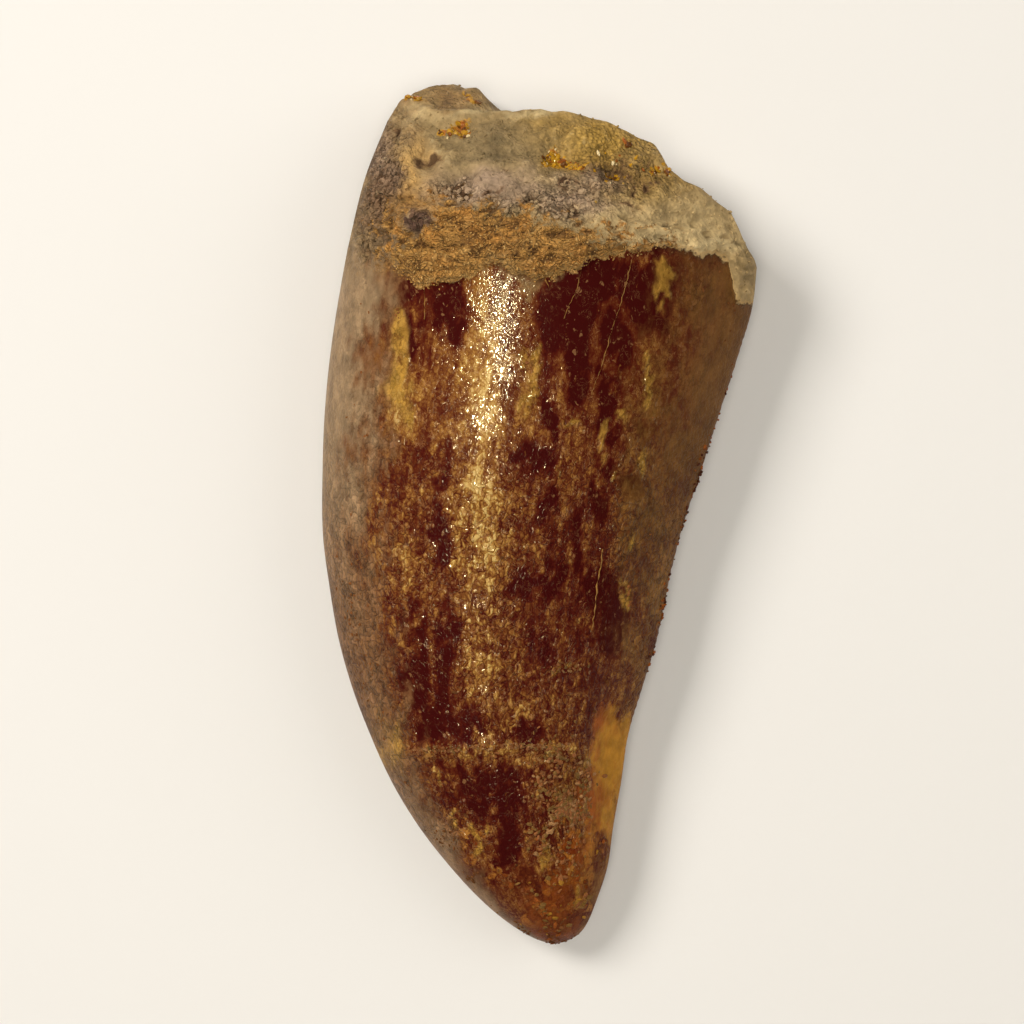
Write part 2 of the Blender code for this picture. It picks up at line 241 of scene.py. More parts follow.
# shift across and along, size of its noise, stretch of that noise along the tooth
rootDrift = ((1.3, 1.1, 1.8, 1.0), (0.6, 0.5, 0.6, 1.0))
crownDrift = ((1.2, 3.2, 1.5, 2.6), (0.6, 1.1, 0.5, 2.2))


def grit(x, height, seed):
    # a coarse and a finer noise
    f = fineRelief
    coarse = grained(x, height, f["gritCell"], seed)
    fine = grained(x, height, f["gritCell"], seed + 3, f["finer"])
    return f["grit"] * (f["gritShares"][0] * coarse + f["gritShares"][1] * fine)


def wandered(table, x, seed):
    # a border line with small bays in it
    line = along(table, x)
    for reach, pace in fineRelief["bays"]:
        line = line + reach * grain(x * pace, 0 * x + seed, 0 * x)
    return line


def calmed(height, rimLine):
    low, high, share = brokenRim["calm"]
    return 1 - share * ease(low, high, height - rimLine)


def rootTexture(x, height, crust):
    f = fineRelief
    rise = (1 - crust) * grit(x, height, seeds["frontGrit"])
    pits = markField(*drifted(x, height, seeds["rootDrift"], rootDrift), darkMarks)
    rise -= f["pit"] * (1 - 0.7 * crust) * ease(*f["pitEdge"], pits)
    leftSide = 1 - ease(*f["knobblyEnd"], x)
    rise += f["knobbly"] * leftSide * grained(x, height, f["knobblyCell"], seeds["knobbly"])
    sugary = ease(*f["sugarStart"][0], x) * ease(*f["sugarStart"][1], height)
    rise += f["sugar"] * sugary * grained(x, height, f["sugarCell"], seeds["sugar"])
    slots = within(f["slotSpan"], height - along(neckCrust["crustEnd"], x))
    gap = grained(x, height, f["slotCell"], seeds["slot"])
    rise -= f["slot"] * slots * np.clip(gap - f["slotStart"], 0, 1) * 2
    wx = x + f["warp"][0] * grained(x, height, f["warpCell"], seeds["warp"][0])
    wh = height + f["warp"][1] * grained(x, height, f["warpCell"], seeds["warp"][1])
    puffs = 0
    for (swell, base), seed, finer in zip(f["puffs"], seeds["puffs"], (1, f["finer"])):
        puffs = puffs + swell * np.abs(grained(wx, wh, f["rippleCell"], seed, finer)) - base
    return rise + crust * f["ripple"] * np.minimum(puffs, f["rippleTop"])


def crownWave(x, height, seed):
    w = crownForms
    return w["wave"] * grained(x, height, (w["waveAcross"], w["waveAlong"]), seed)


def frontRelief(x, height, u):
    c, w = neckCrust, crownForms
    past = height - wandered(c["enamelEnd"], x, seeds["frontNeck"])
    root = ease(*c["rootBlend"], past)
    crust = ease(*c["crustRise"], past)
    crust = crust * (1 - ease(*c["crustFade"], height - along(c["crustEnd"], x)))
    sand = 1 + c["grain"] / c["thickness"] * grained(x, height, c["grainCell"], 0)
    # on the front edge the enamel runs into the root without a step
    step = ease(*c["stepBlend"], past) * ease(*c["stepStart"], x)
    rise = c["step"] * step + c["thickness"] * crust * sand
    rise += root * (1 - 0.6 * crust) * rock(x, height, seeds["frontRock"])
    for form in rootForms:
        rise += spot(x, height, form)
    ridge = np.exp(-(((x - rootRidge["x"]) / rootRidge["width"]) ** 2))
    rise += rootRidge["rise"] * within(rootRidge["span"], height) * ridge
    fold = (height - along(w["wrinkle"], x)) / w["wrinkleWidth"]
    rise += w["wrinkleRise"] * within(w["wrinkleSpan"], x) * np.exp(-(fold**2))
    rise += spot(x, height, w["chip"])
    rise += crownWave(x, height, seeds["frontWave"])
    rimLine = along(brokenRim["rim"], x) - along(brokenRim["frontDrop"], x)
    fine = root * rootTexture(x, height, crust) * calmed(height, rimLine)
    line, wide, lift = fineRelief["crest"]
    crest = np.exp(-(((height - along(line, x)) / wide) ** 2)) * within(fineRelief["crestSpan"], x)
    rise += fine + lift * crest + spot(x, height, fineRelief["squarePit"])
    return rise * (1 - np.abs(u) ** edgePower), fine


def backRelief(x, height, u):
    c = neckCrust
    root = ease(*c["rootBlend"], height - wandered(c["backEnamelEnd"], x, seeds["backNeck"]))
    fine = root * grit(x, height, seeds["backGrit"]) * calmed(height, along(brokenRim["rim"], x))
    rise = root * (c["step"] + c["backThickness"] + rock(x, height, seeds["backRock"])) + fine
    rise += crownWave(x, height, seeds["backWave"])
    return rise * (1 - np.abs(u) ** edgePower), fine


def midPlane(height):
    return through(toothForm["backLine"], height) + through(toothForm["backDepth"], height)


def frontFace(u, x, height):
    crest = crestShape(u, toothForm["frontCrest"], 2)
    past = height - along(brokenRim["facetStart"], x)
    bend = np.clip(past, 0, brokenRim["facetEase"])
    taper = bend**2 / (2 * brokenRim["facetEase"]) + np.clip(past - brokenRim["facetEase"], 0, None)
    taper = brokenRim["facetSlope"] * taper * crest ** brokenRim["facetFade"]
    return midPlane(height) + through(toothForm["frontDepth"], height) * crest - taper


def backFace(u, height):
    crest = crestShape(u, toothForm["backCrest"], toothForm["backFlat"])
    return midPlane(height) - through(toothForm["backDepth"], height) * crest


def capPoints(front, back):
    r, rows = brokenRim, []
    for k in range(1, toothForm["capSteps"]):
        part = k / toothForm["capSteps"]
        x, _, z = (front + (back - front) * part).T
        height = front[:, 1] + (back[:, 1] - front[:, 1]) * ease(*r["knobStep"], part)
        arch = np.sin(np.pi * part)
        hx, hr, hd = r["hollow"]
        hollow = hd * arch**2 * np.exp(-(((x - hx) / hr) ** 2))
        rough = sum(lump * arch * grain(x / cell, height / cell, z / cell) for lump, cell in r["lumps"])
        height = np.minimum(height - hollow + rough, along(r["rim"], x))
        rows.append(np.column_stack([x, height, z]))
    return np.array(rows)


def pushedOut(points, relief, upward):
    across, lengthwise = np.gradient(points, axis=1), np.gradient(points, axis=0)
    normal = np.cross(across, lengthwise)
    normal *= upward * np.sign(normal[..., 2:].sum())
    normal /= np.maximum(np.linalg.norm(normal, axis=2, keepdims=True), 1e-9)
    return points + relief[..., None] * normal


# the fine surface: one closed skin, columns round and rings along
u, gridX, crownHeight, rimX, lean = ringPlaces()
rim = along(brokenRim["rim"], rimX)
wide = np.broadcast_to(u, gridX.shape)
frontHeight = leaned(crownHeight, rim - along(brokenRim["frontDrop"], rimX), lean)
backHeight = leaned(crownHeight, rim, lean)
front = np.dstack([gridX, frontHeight, frontFace(wide, gridX, frontHeight)])
back = np.dstack([gridX, backHeight, backFace(wide, backHeight)])
frontRise, frontFine = frontRelief(gridX, frontHeight, wide)
backRise, backFine = backRelief(gridX, backHeight, wide)
front, back = pushedOut(front, frontRise, 1), pushedOut(back, backRise, -1)

# worn serration: small nicks in the rear edge
level = 0 * gridX
drift = serration["drift"] * grain(frontHeight / serration["driftCell"], level, level)
notch = np.sin(2 * np.pi * frontHeight / serration["pitch"] + drift)
wear = grain(frontHeight / serration["wearCell"], level + seeds["wear"], level)
worn = within(serration["span"], frontHeight) * (serration["wear"][0] + serration["wear"][1] * wear)
worn = np.clip(worn, 0, 1) * (0.5 + 0.5 * notch) * ease(serration["edge"], 1.0, wide)
for side in (front, back):
    side[..., 0] -= serration["depth"] * worn
back[:, 0], back[:, -1] = front[:, 0], front[:, -1]
cap = capPoints(front[-1], back[-1])
print("tooth surface shaped")

# colours, read as they look and turned into what the shader wants
def tone(r, g, b):
    def flat(c):
        c /= 255
        return c / 12.92 if c <= 0.04045 else ((c + 0.055) / 1.055) ** 2.4
    return tuple(flat(c) for c in (r, g, b))


# enamel from bare and dark to thickly filmed
enamelSteps = (
    (0.0, tone(60, 13, 11)), (0.14, tone(75, 23, 14)), (0.28, tone(88, 38, 19)),
    (0.44, tone(106, 58, 27)), (0.6, tone(128, 80, 36)), (0.76, tone(154, 108, 50)),
    (0.9, tone(180, 138, 70)), (1.0, tone(204, 168, 100)),
)
honeySteps = (
    (0.0, tone(92, 32, 12)), (0.35, tone(118, 50, 15)), (0.65, tone(142, 74, 25)),
    (0.85, tone(162, 98, 36)), (1.0, tone(178, 120, 52)),
)
toothColors = {
    "redBrown": tone(80, 36, 18), "crumbPink": tone(156, 98, 56), "crumbTan": tone(178, 130, 82),
    "goldFilm": tone(150, 106, 44), "paleEdge": tone(148, 122, 90), "pinkEdge": tone(118, 83, 52),
    "rearBand": tone(112, 76, 36), "olive": tone(108, 80, 36), "chipRed": tone(150, 80, 32),
    "chipOchre": tone(172, 120, 42), "tipOrange": tone(126, 62, 22), "tipTan": tone(138, 100, 52),
    "ochre": tone(174, 132, 54), "greyFilm": tone(138, 112, 72), "crust": tone(182, 134, 70),
    "crustShade": tone(92, 58, 30), "crustLight": tone(204, 162, 98),
    "crustOrange": tone(178, 124, 60), "dentine": tone(162, 136, 92),
    "paleRim": tone(192, 166, 118), "leftFacet": tone(122, 94, 70), "knob": tone(146, 115, 72),
    "sugar": tone(164, 129, 60), "greenGrey": tone(126, 107, 75), "purpleGrey": tone(166, 140, 116),
    "darkPitAndShade": tone(64, 42, 28), "amber": tone(188, 138, 34), "orangeRim": tone(160, 88, 32),
    "cream": tone(218, 196, 148), "pitBrownAndShade": tone(112, 80, 54), "amberDark": tone(104, 60, 22),
    "lumpGrey": tone(104, 78, 64),
}

# x, height, radius across, radius along: where the dark enamel shows through the golden film
oxbloodMarks = (
    (-11.2, 54.6, 1.7, 2.0), (-7.5, 53.1, 1.8, 2.2), (2.0, 52.8, 2.2, 4.2), (4.4, 55.3, 2.0, 1.5),
    (2.8, 48.2, 0.9, 2.5), (8.8, 54.2, 1.8, 3.0), (5.4, 45.0, 1.2, 1.7), (-0.4, 40.7, 1.4, 1.3),
    (1.1, 44.2, 0.8, 1.8), (-8.0, 38.3, 0.8, 1.2), (-8.2, 34.9, 1.0, 1.4), (-0.2, 30.9, 2.7, 1.2),
    (6.2, 27.5, 1.2, 2.7), (-7.3, 26.9, 0.8, 1.6), (-9.8, 24.2, 0.8, 3.7), (-7.6, 23.6, 0.6, 2.2),
    (-7.6, 19.7, 2.3, 2.1), (-5.6, 18.0, 1.5, 1.0), (-0.9, 19.0, 1.2, 1.3), (-4.2, 14.8, 3.4, 0.8),
    (-3.2, 12.7, 2.5, 1.0), (5.4, 31.0, 1.2, 1.4), (-2.5, 9.5, 1.2, 2.3), (-0.8, 5.4, 1.0, 1.5),
    (3.0, 34.2, 0.6, 2.8), (4.2, 29.6, 0.8, 2.2), (-10.6, 50.5, 0.8, 1.2), (6.4, 50.0, 1.0, 3.2),
    (0.6, 36.6, 0.8, 1.8), (6.0, 41.5, 0.8, 1.6), (7.6, 38.4, 0.8, 1.9), (8.8, 43.4, 0.7, 1.7),
    (4.8, 37.2, 0.7, 1.5),
)
ochreMarks = (
    (-11.5, 47.4, 1.2, 3.2), (-11.3, 49.8, 1.0, 1.9), (-10.8, 44.6, 0.9, 1.6),
    (10.2, 55.2, 0.6, 1.2), (9.0, 47.2, 0.4, 1.2), (8.2, 34.3, 0.5, 0.8), (-7.2, 12.4, 0.35, 1.3),
    (-5.2, 9.6, 0.35, 0.8), (-3.3, 6.6, 0.4, 0.5), (0.6, 8.2, 0.7, 1.2), (-16.8, 49.0, 0.5, 1.0),
    (2.6, 43.6, 0.8, 0.6), (1.6, 40.1, 0.4, 0.8), (1.4, 24.1, 1.3, 0.4), (-0.7, 47.2, 0.9, 3.8),
    (3.8, 3.8, 0.8, 0.9), (8.4, 28.4, 0.5, 1.2), (6.9, 30.4, 0.4, 1.3), (7.2, 44.6, 0.5, 1.0),
    (6.3, 39.5, 0.5, 0.9), (8.5, 40.8, 0.4, 1.1), (5.3, 43.6, 0.45, 0.9),
)
edgeOchre = (-13.1, 16.4, 1.0, 2.3)     # x, height and radii of the ochre at the front edge
# colour, x, height, radius across, radius along, strength: broad tints over the film
crownWashes = (
    ("redBrown", 12.8, 55.5, 3.0, 3.5, 0.6), ("olive", 8.4, 44.0, 2.0, 8.0, 0.4),
    ("olive", 8.2, 35.0, 2.2, 5.0, 0.5), ("olive", 2.6, 13.5, 2.0, 3.6, 0.4),
    ("tipTan", 3.8, 8.8, 1.2, 3.0, 0.4), ("tipOrange", 1.2, 1.6, 3.0, 3.4, 0.8),
    ("tipTan", 3.9, 4.2, 0.7, 1.0, 0.5), ("greyFilm", -1.8, 55.6, 2.6, 1.6, 0.6),
    ("tipOrange", -1.0, 6.0, 2.0, 2.0, 0.4),
)
# the same for how thick the film is: x, height, radii, change
filmWashes = (
    (-4.4, 50.0, 1.9, 6.5, 0.34), (-4.6, 40.0, 1.9, 7.0, 0.34), (-4.6, 29.0, 1.8, 7.5, 0.28),
    (-4.2, 21.5, 1.8, 3.5, 0.16), (-11.4, 47.5, 1.6, 5.0, 0.3), (3.0, 52.0, 4.0, 6.0, -0.14),
    (0.6, 25.5, 2.4, 4.0, -0.15), (-11.5, 52.9, 1.8, 2.0, -0.16), (-4.0, 6.4, 1.2, 1.6, -0.1),
    (8.5, 53.0, 3.5, 5.5, -0.08), (3.6, 40.0, 3.5, 5.0, -0.04), (3.0, 30.0, 4.5, 6.0, -0.1),
    (-7.8, 21.0, 3.4, 5.5, -0.14), (-2.6, 12.0, 4.0, 5.0, -0.1), (9.0, 44.0, 1.6, 5.0, 0.12),
    (-4.5, 17.0, 8.0, 0.8, 0.26), (3.2, 10.5, 2.0, 6.0, 0.14), (-14.0, 30.0, 2.4, 14.0, 0.12),
    (-9.4, 12.0, 1.6, 4.0, -0.1), (1.0, 1.5, 3.0, 2.5, -0.05), (-14.4, 46.0, 2.0, 8.0, 0.16),
)
rootWashes = (
    ("leftFacet", -13.0, 63.0, 2.6, 7.0, 1.0), ("greenGrey", -3.4, 66.4, 5.2, 2.8, 0.95),
    ("sugar", 5.4, 67.0, 4.6, 2.6, 1.0), ("sugar", 9.0, 63.6, 3.0, 2.0, 0.75),
    ("paleRim", 12.6, 60.0, 5.0, 2.0, 0.95), ("purpleGrey", -4.4, 62.6, 5.4, 1.5, 0.95),
    ("purpleGrey", 2.8, 61.6, 3.6, 1.3, 0.85), ("purpleGrey", 4.5, 63.4, 1.8, 0.7, 0.7),
    ("paleRim", 6.4, 59.9, 4.0, 0.9, 0.7), ("knob", -7.3, 71.2, 4.6, 1.5, 1.0),
    ("dentine", 17.2, 56.6, 1.3, 3.0, 0.9), ("crustLight", -10.3, 64.4, 0.9, 2.6, 1.0),
    # the cream washes at heights 69 to 70 follow the raised crest of the broken end and are painted light
    # on it
    ("crust", -10.0, 61.3, 1.6, 1.8, 0.9), ("cream", -10.0, 70.0, 1.2, 0.8, 0.35),
    ("cream", -5.0, 69.3, 3.4, 0.4, 0.5), ("cream", 0.5, 69.6, 2.2, 0.4, 0.6),
    ("cream", 12.0, 58.6, 4.5, 0.6, 0.6), ("paleEdge", -15.8, 57.5, 1.8, 2.2, 1.0),
    ("sugar", 0.6, 68.6, 2.4, 0.9, 0.5), ("purpleGrey", -12.9, 66.0, 0.9, 2.2, 0.6),
    ("orangeRim", -11.6, 71.0, 0.8, 0.6, 0.6), ("pitBrownAndShade", -7.6, 70.6, 0.9, 0.7, 0.5),
    ("lumpGrey", -9.8, 59.9, 0.8, 1.0, 1.5), ("amber", 3.0, 65.0, 2.2, 0.9, 0.4),
    ("pitBrownAndShade", 6.2, 64.1, 2.6, 0.8, 0.65), ("pitBrownAndShade", 8.8, 63.4, 1.4, 0.5, 0.4),
)
# x, height, radius across, radius along, strength: where knobs and crevices break the root up, with painted
# shade in the crevices
creviceMarks = (
    (-12.9, 64.2, 2.0, 5.8, 0.95), (-7.0, 62.6, 1.9, 0.9, 0.9), (-2.0, 61.0, 5.4, 1.0, 0.95),
    (2.4, 62.3, 3.0, 0.9, 0.75), (6.4, 64.2, 3.2, 1.5, 0.7), (-14.4, 58.4, 1.4, 2.0, 0.5),
    (8.5, 66.6, 2.6, 1.2, 0.25), (-9.8, 59.9, 0.8, 0.9, 0.6), (-4.0, 66.8, 4.5, 2.0, 0.14),
)
# x, height, radius across, radius along
greyVeil = (-1.7, 55.5, 2.6, 1.5)
greyLump = (-9.8, 59.9, 0.8, 0.9)
sugarZone = (6.2, 65.6, 5.0, 3.0)
polishElsewhere = 0.23      # how polished the rest of the enamel is
# x, height, radius across, radius along, strength: polished spots, then honey lumps
polishedSpots = (
    (-3.6, 53.0, 1.7, 2.9, 0.9), (0.6, 50.0, 1.7, 6.0, -0.3), (-2.8, 48.3, 1.1, 2.2, 0.5),
    (-4.5, 44.4, 1.2, 1.9, 0.6), (-4.3, 39.2, 0.7, 0.9, 0.4), (-5.2, 29.4, 0.8, 0.9, 0.4),
    (-4.6, 34.0, 1.2, 3.0, 0.15),
)
honeyMarks = (
    (1.8, 5.2, 2.4, 3.4, 0.6), (0.4, 1.4, 3.2, 2.6, 0.8), (-5.4, 9.4, 1.1, 2.6, 0.5),
    (3.2, 8.6, 1.6, 2.8, 0.55), (-3.4, 6.0, 1.0, 1.2, 0.4),
)
# scar of a flake at the rear edge, with a thinner tail towards the tip
chipMarks = ((6.1, 16.8, 2.4, 4.4), (5.3, 12.0, 1.9, 4.8))
broadWander = 0.17      # how far the bands along the two edges wander
# where the bands along the edges start and are full: shares of the half width, mm from the tip
bands = {
    "pinkEdge": (0.51, 0.78), "paleEdge": (0.7, 0.9), "rearBand": (0.38, 0.95), "tipTan": (0.8, 0.97),
    "paleHigh": (24, 46), "paleLow": (8, 20), "rearHigh": (28, 44), "rearStart": (18, 28),
    "tipEnd": (30, 40),
}
# marks strewn over the back: how many, spans of x, height and the two radii
backMarks = {
    "oxblood": (26, ((-13, 11), (8, 53), (0.7, 2.2), (1.4, 4.5))),
    "ochre": (18, ((-13, 12), (5, 54), (0.4, 1.0), (0.8, 2.4))),
}


def bell(x, height, mark):
    cx, ch, rx, rh = mark
    return np.exp(-(((x - cx) / rx) ** 2) - ((height - ch) / rh) ** 2)


def washed(color, x, height, washes):
    for name, *mark, strength in washes:
        color = toward(color, name, strength * bell(x, height, mark))
    return color


def summed(x, height, washes):
    return sum(strength * bell(x, height, mark) for *mark, strength in washes)


def toward(color, name, cover):
    cover = np.clip(cover, 0, 1)[:, None]
    goal = np.append(toothColors[name], 1.0)[:color.shape[1]]
    return color + (goal - color) * cover


# one mesh for the whole tooth; its skin, end and tip each bake into a band of the map
mapBands = {"skin": (0.01, 0.85), "cap": (0.88, 0.11), "tip": 0.002}
capFine = (0.2, 0.8)        # fine relief of the broken end and its cell, mm
n = toothForm["sideSteps"]
ringPoints = np.concatenate([front, back[:, n - 1:0:-1]], axis=1)
ringFine = np.concatenate([frontFine, backFine[:, n - 1:0:-1]], axis=1)
ringU = np.concatenate([u, u[n - 1:0:-1]])
rows, around = ringPoints.shape[:2]
capInner = cap[:, 1:-1].reshape(-1, 3)
tipPoint = np.array([[toothForm["mesialEdge"][0][1], 0, toothForm["backLine"][0][1]]])
points = np.vstack([ringPoints.reshape(-1, 3), capInner, tipPoint])
uAll = np.concatenate([np.tile(ringU, rows), np.tile(u[1:-1], toothForm["capSteps"] - 1), [0]])
fineAll = np.concatenate([ringFine.ravel(), capFine[0] * grain(*(capInner / capFine[1]).T), [0]])
sideAll = np.concatenate([np.tile(np.r_[np.ones(n + 1), -np.ones(n - 1)], rows),
                          np.zeros(len(capInner)), [1]])
xAll, hAll = points[:, 0].copy(), points[:, 1].copy()
points[:, 2] = np.maximum(points[:, 2] - toothForm["restWear"], 0)
low, high = points.min(axis=0), points.max(axis=0)
boxMiddle = (np.array(cadBox[0]) + np.array(cadBox[1])) / 2 / mm
shift = np.array([(low[0] + high[0]) / 2 - boxMiddle[0], (low[1] + high[1]) / 2 - boxMiddle[1], 0])
points -= shift

index = np.arange(rows * around).reshape(rows, around)
nextColumn = np.roll(index, -1, axis=1)
quads = np.dstack([index[:-1], nextColumn[:-1], nextColumn[1:], index[1:]]).reshape(-1, 4)
reach = np.concatenate([[0], np.cumsum(np.linalg.norm(np.diff(ringPoints[:, n // 2], axis=0), axis=1))])
skinV = mapBands["skin"][0] + mapBands["skin"][1] * reach / reach[-1]
column = np.tile(np.arange(around), rows - 1) / around
step = 1 / around
lowV, highV = np.repeat(skinV[:-1], around), np.repeat(skinV[1:], around)
quadUV = np.stack([np.column_stack([column, lowV]), np.column_stack([column + step, lowV]),
                   np.column_stack([column + step, highV]), np.column_stack([column, highV])], axis=1)
faces = [tuple(q) for q in quads.tolist()]
faceUV = [tuple(map(tuple, q)) for q in quadUV.tolist()]

tipIndex = len(points) - 1
for j in range(around):
    faces.append((tipIndex, int(nextColumn[0, j]), int(index[0, j])))
    faceUV.append((((j + 0.5) * step, mapBands["tip"]), ((j + 1) * step, skinV[0]), (j * step, skinV[0])))
top = index[-1].tolist()
capStart = rows * around
strips = [top[:n + 1]]
for k in range(toothForm["capSteps"] - 1):
    inner = list(range(capStart + k * (n - 1), capStart + (k + 1) * (n - 1)))
    strips.append([top[0]] + inner + [top[n]])
strips.append([top[0]] + top[:n:-1] + [top[n]])
for k, (near, far) in enumerate(zip(strips, strips[1:])):
    capV, capHigh = mapBands["cap"]
    v0, v1 = (capV + capHigh * row / toothForm["capSteps"] for row in (k, k + 1))
    for j in range(n):
        corners = [near[j], far[j], far[j + 1], near[j + 1]]
        places = [(j / n, v0), (j / n, v1), ((j + 1) / n, v1), ((j + 1) / n, v0)]
        keep = [c for c in range(4) if corners[c] not in corners[:c]]
        faces.append(tuple(corners[c] for c in keep)[::-1])
        faceUV.append(tuple(places[c] for c in keep)[::-1])

mesh = bpy.data.meshes.new("fossilTooth")
mesh.from_pydata((points * mm).tolist(), [], faces)
uvLayer = mesh.uv_layers.new(name="OFBake")
uvLayer.data.foreach_set("uv", np.array([c for f in faceUV for p in f for c in p], np.float32))
mesh.update()
tooth = bpy.data.objects.new("fossilTooth", mesh)
scene.collection.objects.link(tooth)
if sum(p.normal.z * p.area for p in mesh.polygons if p.center.z > 0.012) < 0:
    mesh.flip_normals()
mesh.shade_smooth()
print("tooth mesh", len(points), "points", len(faces), "faces")


# masks and tints at each point
def store(target, name, kind, field, values):
    target.attributes.new(name, kind, "POINT").data.foreach_set(field, np.ravel(values).astype(np.float32))


frontSide, capSide = sideAll > 0, sideAll == 0
enamelLine = np.where(frontSide, wandered(neckCrust["enamelEnd"], xAll, seeds["frontNeck"]),
                      wandered(neckCrust["backEnamelEnd"], xAll, seeds["backNeck"]))
pastEnamel = np.where(capSide, 9, hAll - enamelLine)
rootX, rootH = drifted(xAll, hAll, seeds["rootDrift"], rootDrift)
crownX, crownH = drifted(xAll, hAll, seeds["crownDrift"], crownDrift)

# the sandy crust thins out upward and towards both edges, by so much a mm
crustThins = {
    "upward": 0.5, "sideways": 0.35, "edges": (-12.8, 10.4), "onLump": 3.5,
    "backTop": 58.6, "backEdge": 0.72, "backSideways": 6,
}
c = crustThins
crustTop = along(neckCrust["crustEnd"], xAll)
crustSpan = np.minimum(pastEnamel + 1.0, c["upward"] * (crustTop + 0.5 - rootH))
fromEdges = np.minimum(rootX - c["edges"][0], c["edges"][1] - rootX)
crustSpan = np.minimum(crustSpan, c["sideways"] * fromEdges) - c["onLump"] * bell(rootX, rootH, greyLump)
backCrust = np.minimum(pastEnamel, c["backTop"] - rootH)
backCrust = np.minimum(backCrust, c["backSideways"] * (c["backEdge"] - np.abs(uAll)))
crustSpan = np.where(frontSide, crustSpan, np.where(capSide, -3, backCrust))

# how fast marks die out: towards the two edges, round on the back, down the broken end
markFades = {"edge": 3, "back": 10, "chipBack": 8, "darkDeep": 6, "amberDeep": 8, "deepStart": 0.55}
backRandom = np.random.RandomState(seeds["backMarks"])


def crownField(frontMarks, backName):
    count, spans = backMarks[backName]
    strewn = [[backRandom.uniform(*span) for span in spans] for _ in range(count)]
    field = np.where(frontSide, markField(crownX, crownH, frontMarks), markField(crownX, crownH, strewn))
    return field - markFades["edge"] * ease(0.8, 1, np.abs(uAll))


oxField = crownField(oxbloodMarks, "oxblood")
ochreField = crownField(ochreMarks, "ochre")
darkField = markField(rootX, rootH, darkMarks)
amberField = markField(rootX, rootH, amberMarks)


def wrapped(field, fade):
    # a mark of the front runs on over the edge and dies out on the back
    return np.where(sideAll < 0, field - fade * (1 - np.abs(uAll)), field)


backward = np.clip((high[2] - points[:, 2]) / (high[2] - low[2]), 0, 1)
deep = np.clip(backward - markFades["deepStart"], 0, 1)


def deepened(field, fade):
    return np.where(capSide, field - fade * deep, wrapped(field, markFades["back"]))


darkField = deepened(darkField, markFades["darkDeep"])
amberField = deepened(amberField, markFades["amberDeep"])

# how thick the golden film is, 0 bare to 1 full: thinned by oxblood marks, thickened by ochre ones
filmLook = {"plain": 0.4, "oxblood": 0.75, "oxbloodEdge": 0.28, "ochre": 0.35, "ochreEdge": 0.3}
film = filmLook["plain"] + summed(xAll, hAll, filmWashes)
film -= filmLook["oxblood"] * np.clip(oxField + filmLook["oxbloodEdge"], 0, 0.75)
film += filmLook["ochre"] * np.clip(ochreField + filmLook["ochreEdge"], 0, 0.8)

# tints of the crown: first spots, then bands along the front edge (-1) and the rear edge (1)
crownTint = np.zeros((len(points), 4))
crownTint[:, :3] = toothColors["redBrown"]
crownTint = washed(crownTint, crownX, crownH, crownWashes)
crownU = uAll + broadWander * grained(xAll, hAll, (1.3, 4), seeds["bands"][0])
crownU += 0.7 * broadWander * grained(xAll, hAll, (0.5, 1.2), seeds["bands"][1])
crownTint = toward(crownTint, "pinkEdge", 0.85 * ease(*bands["pinkEdge"], -crownU))
# the pale band on the front edge is partly a paler tone of the enamel and partly painted light on the side
# that faces the lamps, strongest high up and near the tip
pale = 0.1 + 0.8 * ease(*bands["paleHigh"], hAll) + 0.35 * (1 - ease(*bands["paleLow"], hAll))
crownTint = toward(crownTint, "paleEdge", pale * ease(*bands["paleEdge"], -crownU))
rear = (0.4 + 0.5 * ease(*bands["rearHigh"], hAll)) * ease(*bands["rearBand"], crownU)
crownTint = toward(crownTint, "rearBand", rear * ease(*bands["rearStart"], hAll))
tan = 0.5 * ease(*bands["tipTan"], crownU) * (1 - ease(*bands["tipEnd"], hAll))
crownTint = toward(crownTint, "tipTan", tan)
ochre = 0.72 * ease(-0.2, 0.5, ochreField) + 0.85 * bell(crownX, crownH, edgeOchre)
crownTint = toward(crownTint, "ochre", ochre)
chipField = wrapped(markField(crownX, crownH, chipMarks), markFades["chipBack"])
rootTint = np.tile(np.append(toothColors["dentine"], 1.0), (len(points), 1))
rootTint = washed(rootTint, rootX, rootH, rootWashes)

crevice = np.where(frontSide, 0.05, 0.3) + frontSide * summed(rootX, rootH, creviceMarks)
crevice = np.clip(crevice, 0, 1)
honey = np.clip(summed(xAll, hAll, honeyMarks), 0, 1) * ease(-0.1, 0.3, 0.1 - oxField)
pointMasks = {
    "pastEnamel": pastEnamel, "crustSpan": crustSpan, "film": film, "tintCover": crownTint[:, 3],
    "darkField": darkField, "amberField": amberField, "chipField": chipField, "ochreField": ochreField,
    "crevice": crevice, "veil": bell(crownX, crownH, greyVeil) * frontSide,
    "sugary": np.clip(bell(rootX, rootH, sugarZone) * 1.4, 0, 1) * (sideAll >= 0),
    "polish": polishElsewhere + frontSide * summed(xAll, hAll, polishedSpots), "honey": honey,
    "acrossU": uAll, "fineRise": fineAll,
}
store(mesh, "crownTint", "FLOAT_COLOR", "color", crownTint)
store(mesh, "rootTint", "FLOAT_COLOR", "color", rootTint)
for name, values in pointMasks.items():
    store(mesh, name, "FLOAT", "value", np.clip(values, -9, 90))
# places that run with the crown: across, along, and the two faces set far apart
store(mesh, "flow", "FLOAT_VECTOR", "vector", np.column_stack([uAll * 16, hAll, sideAll * 40]))
print("tooth masks stored")


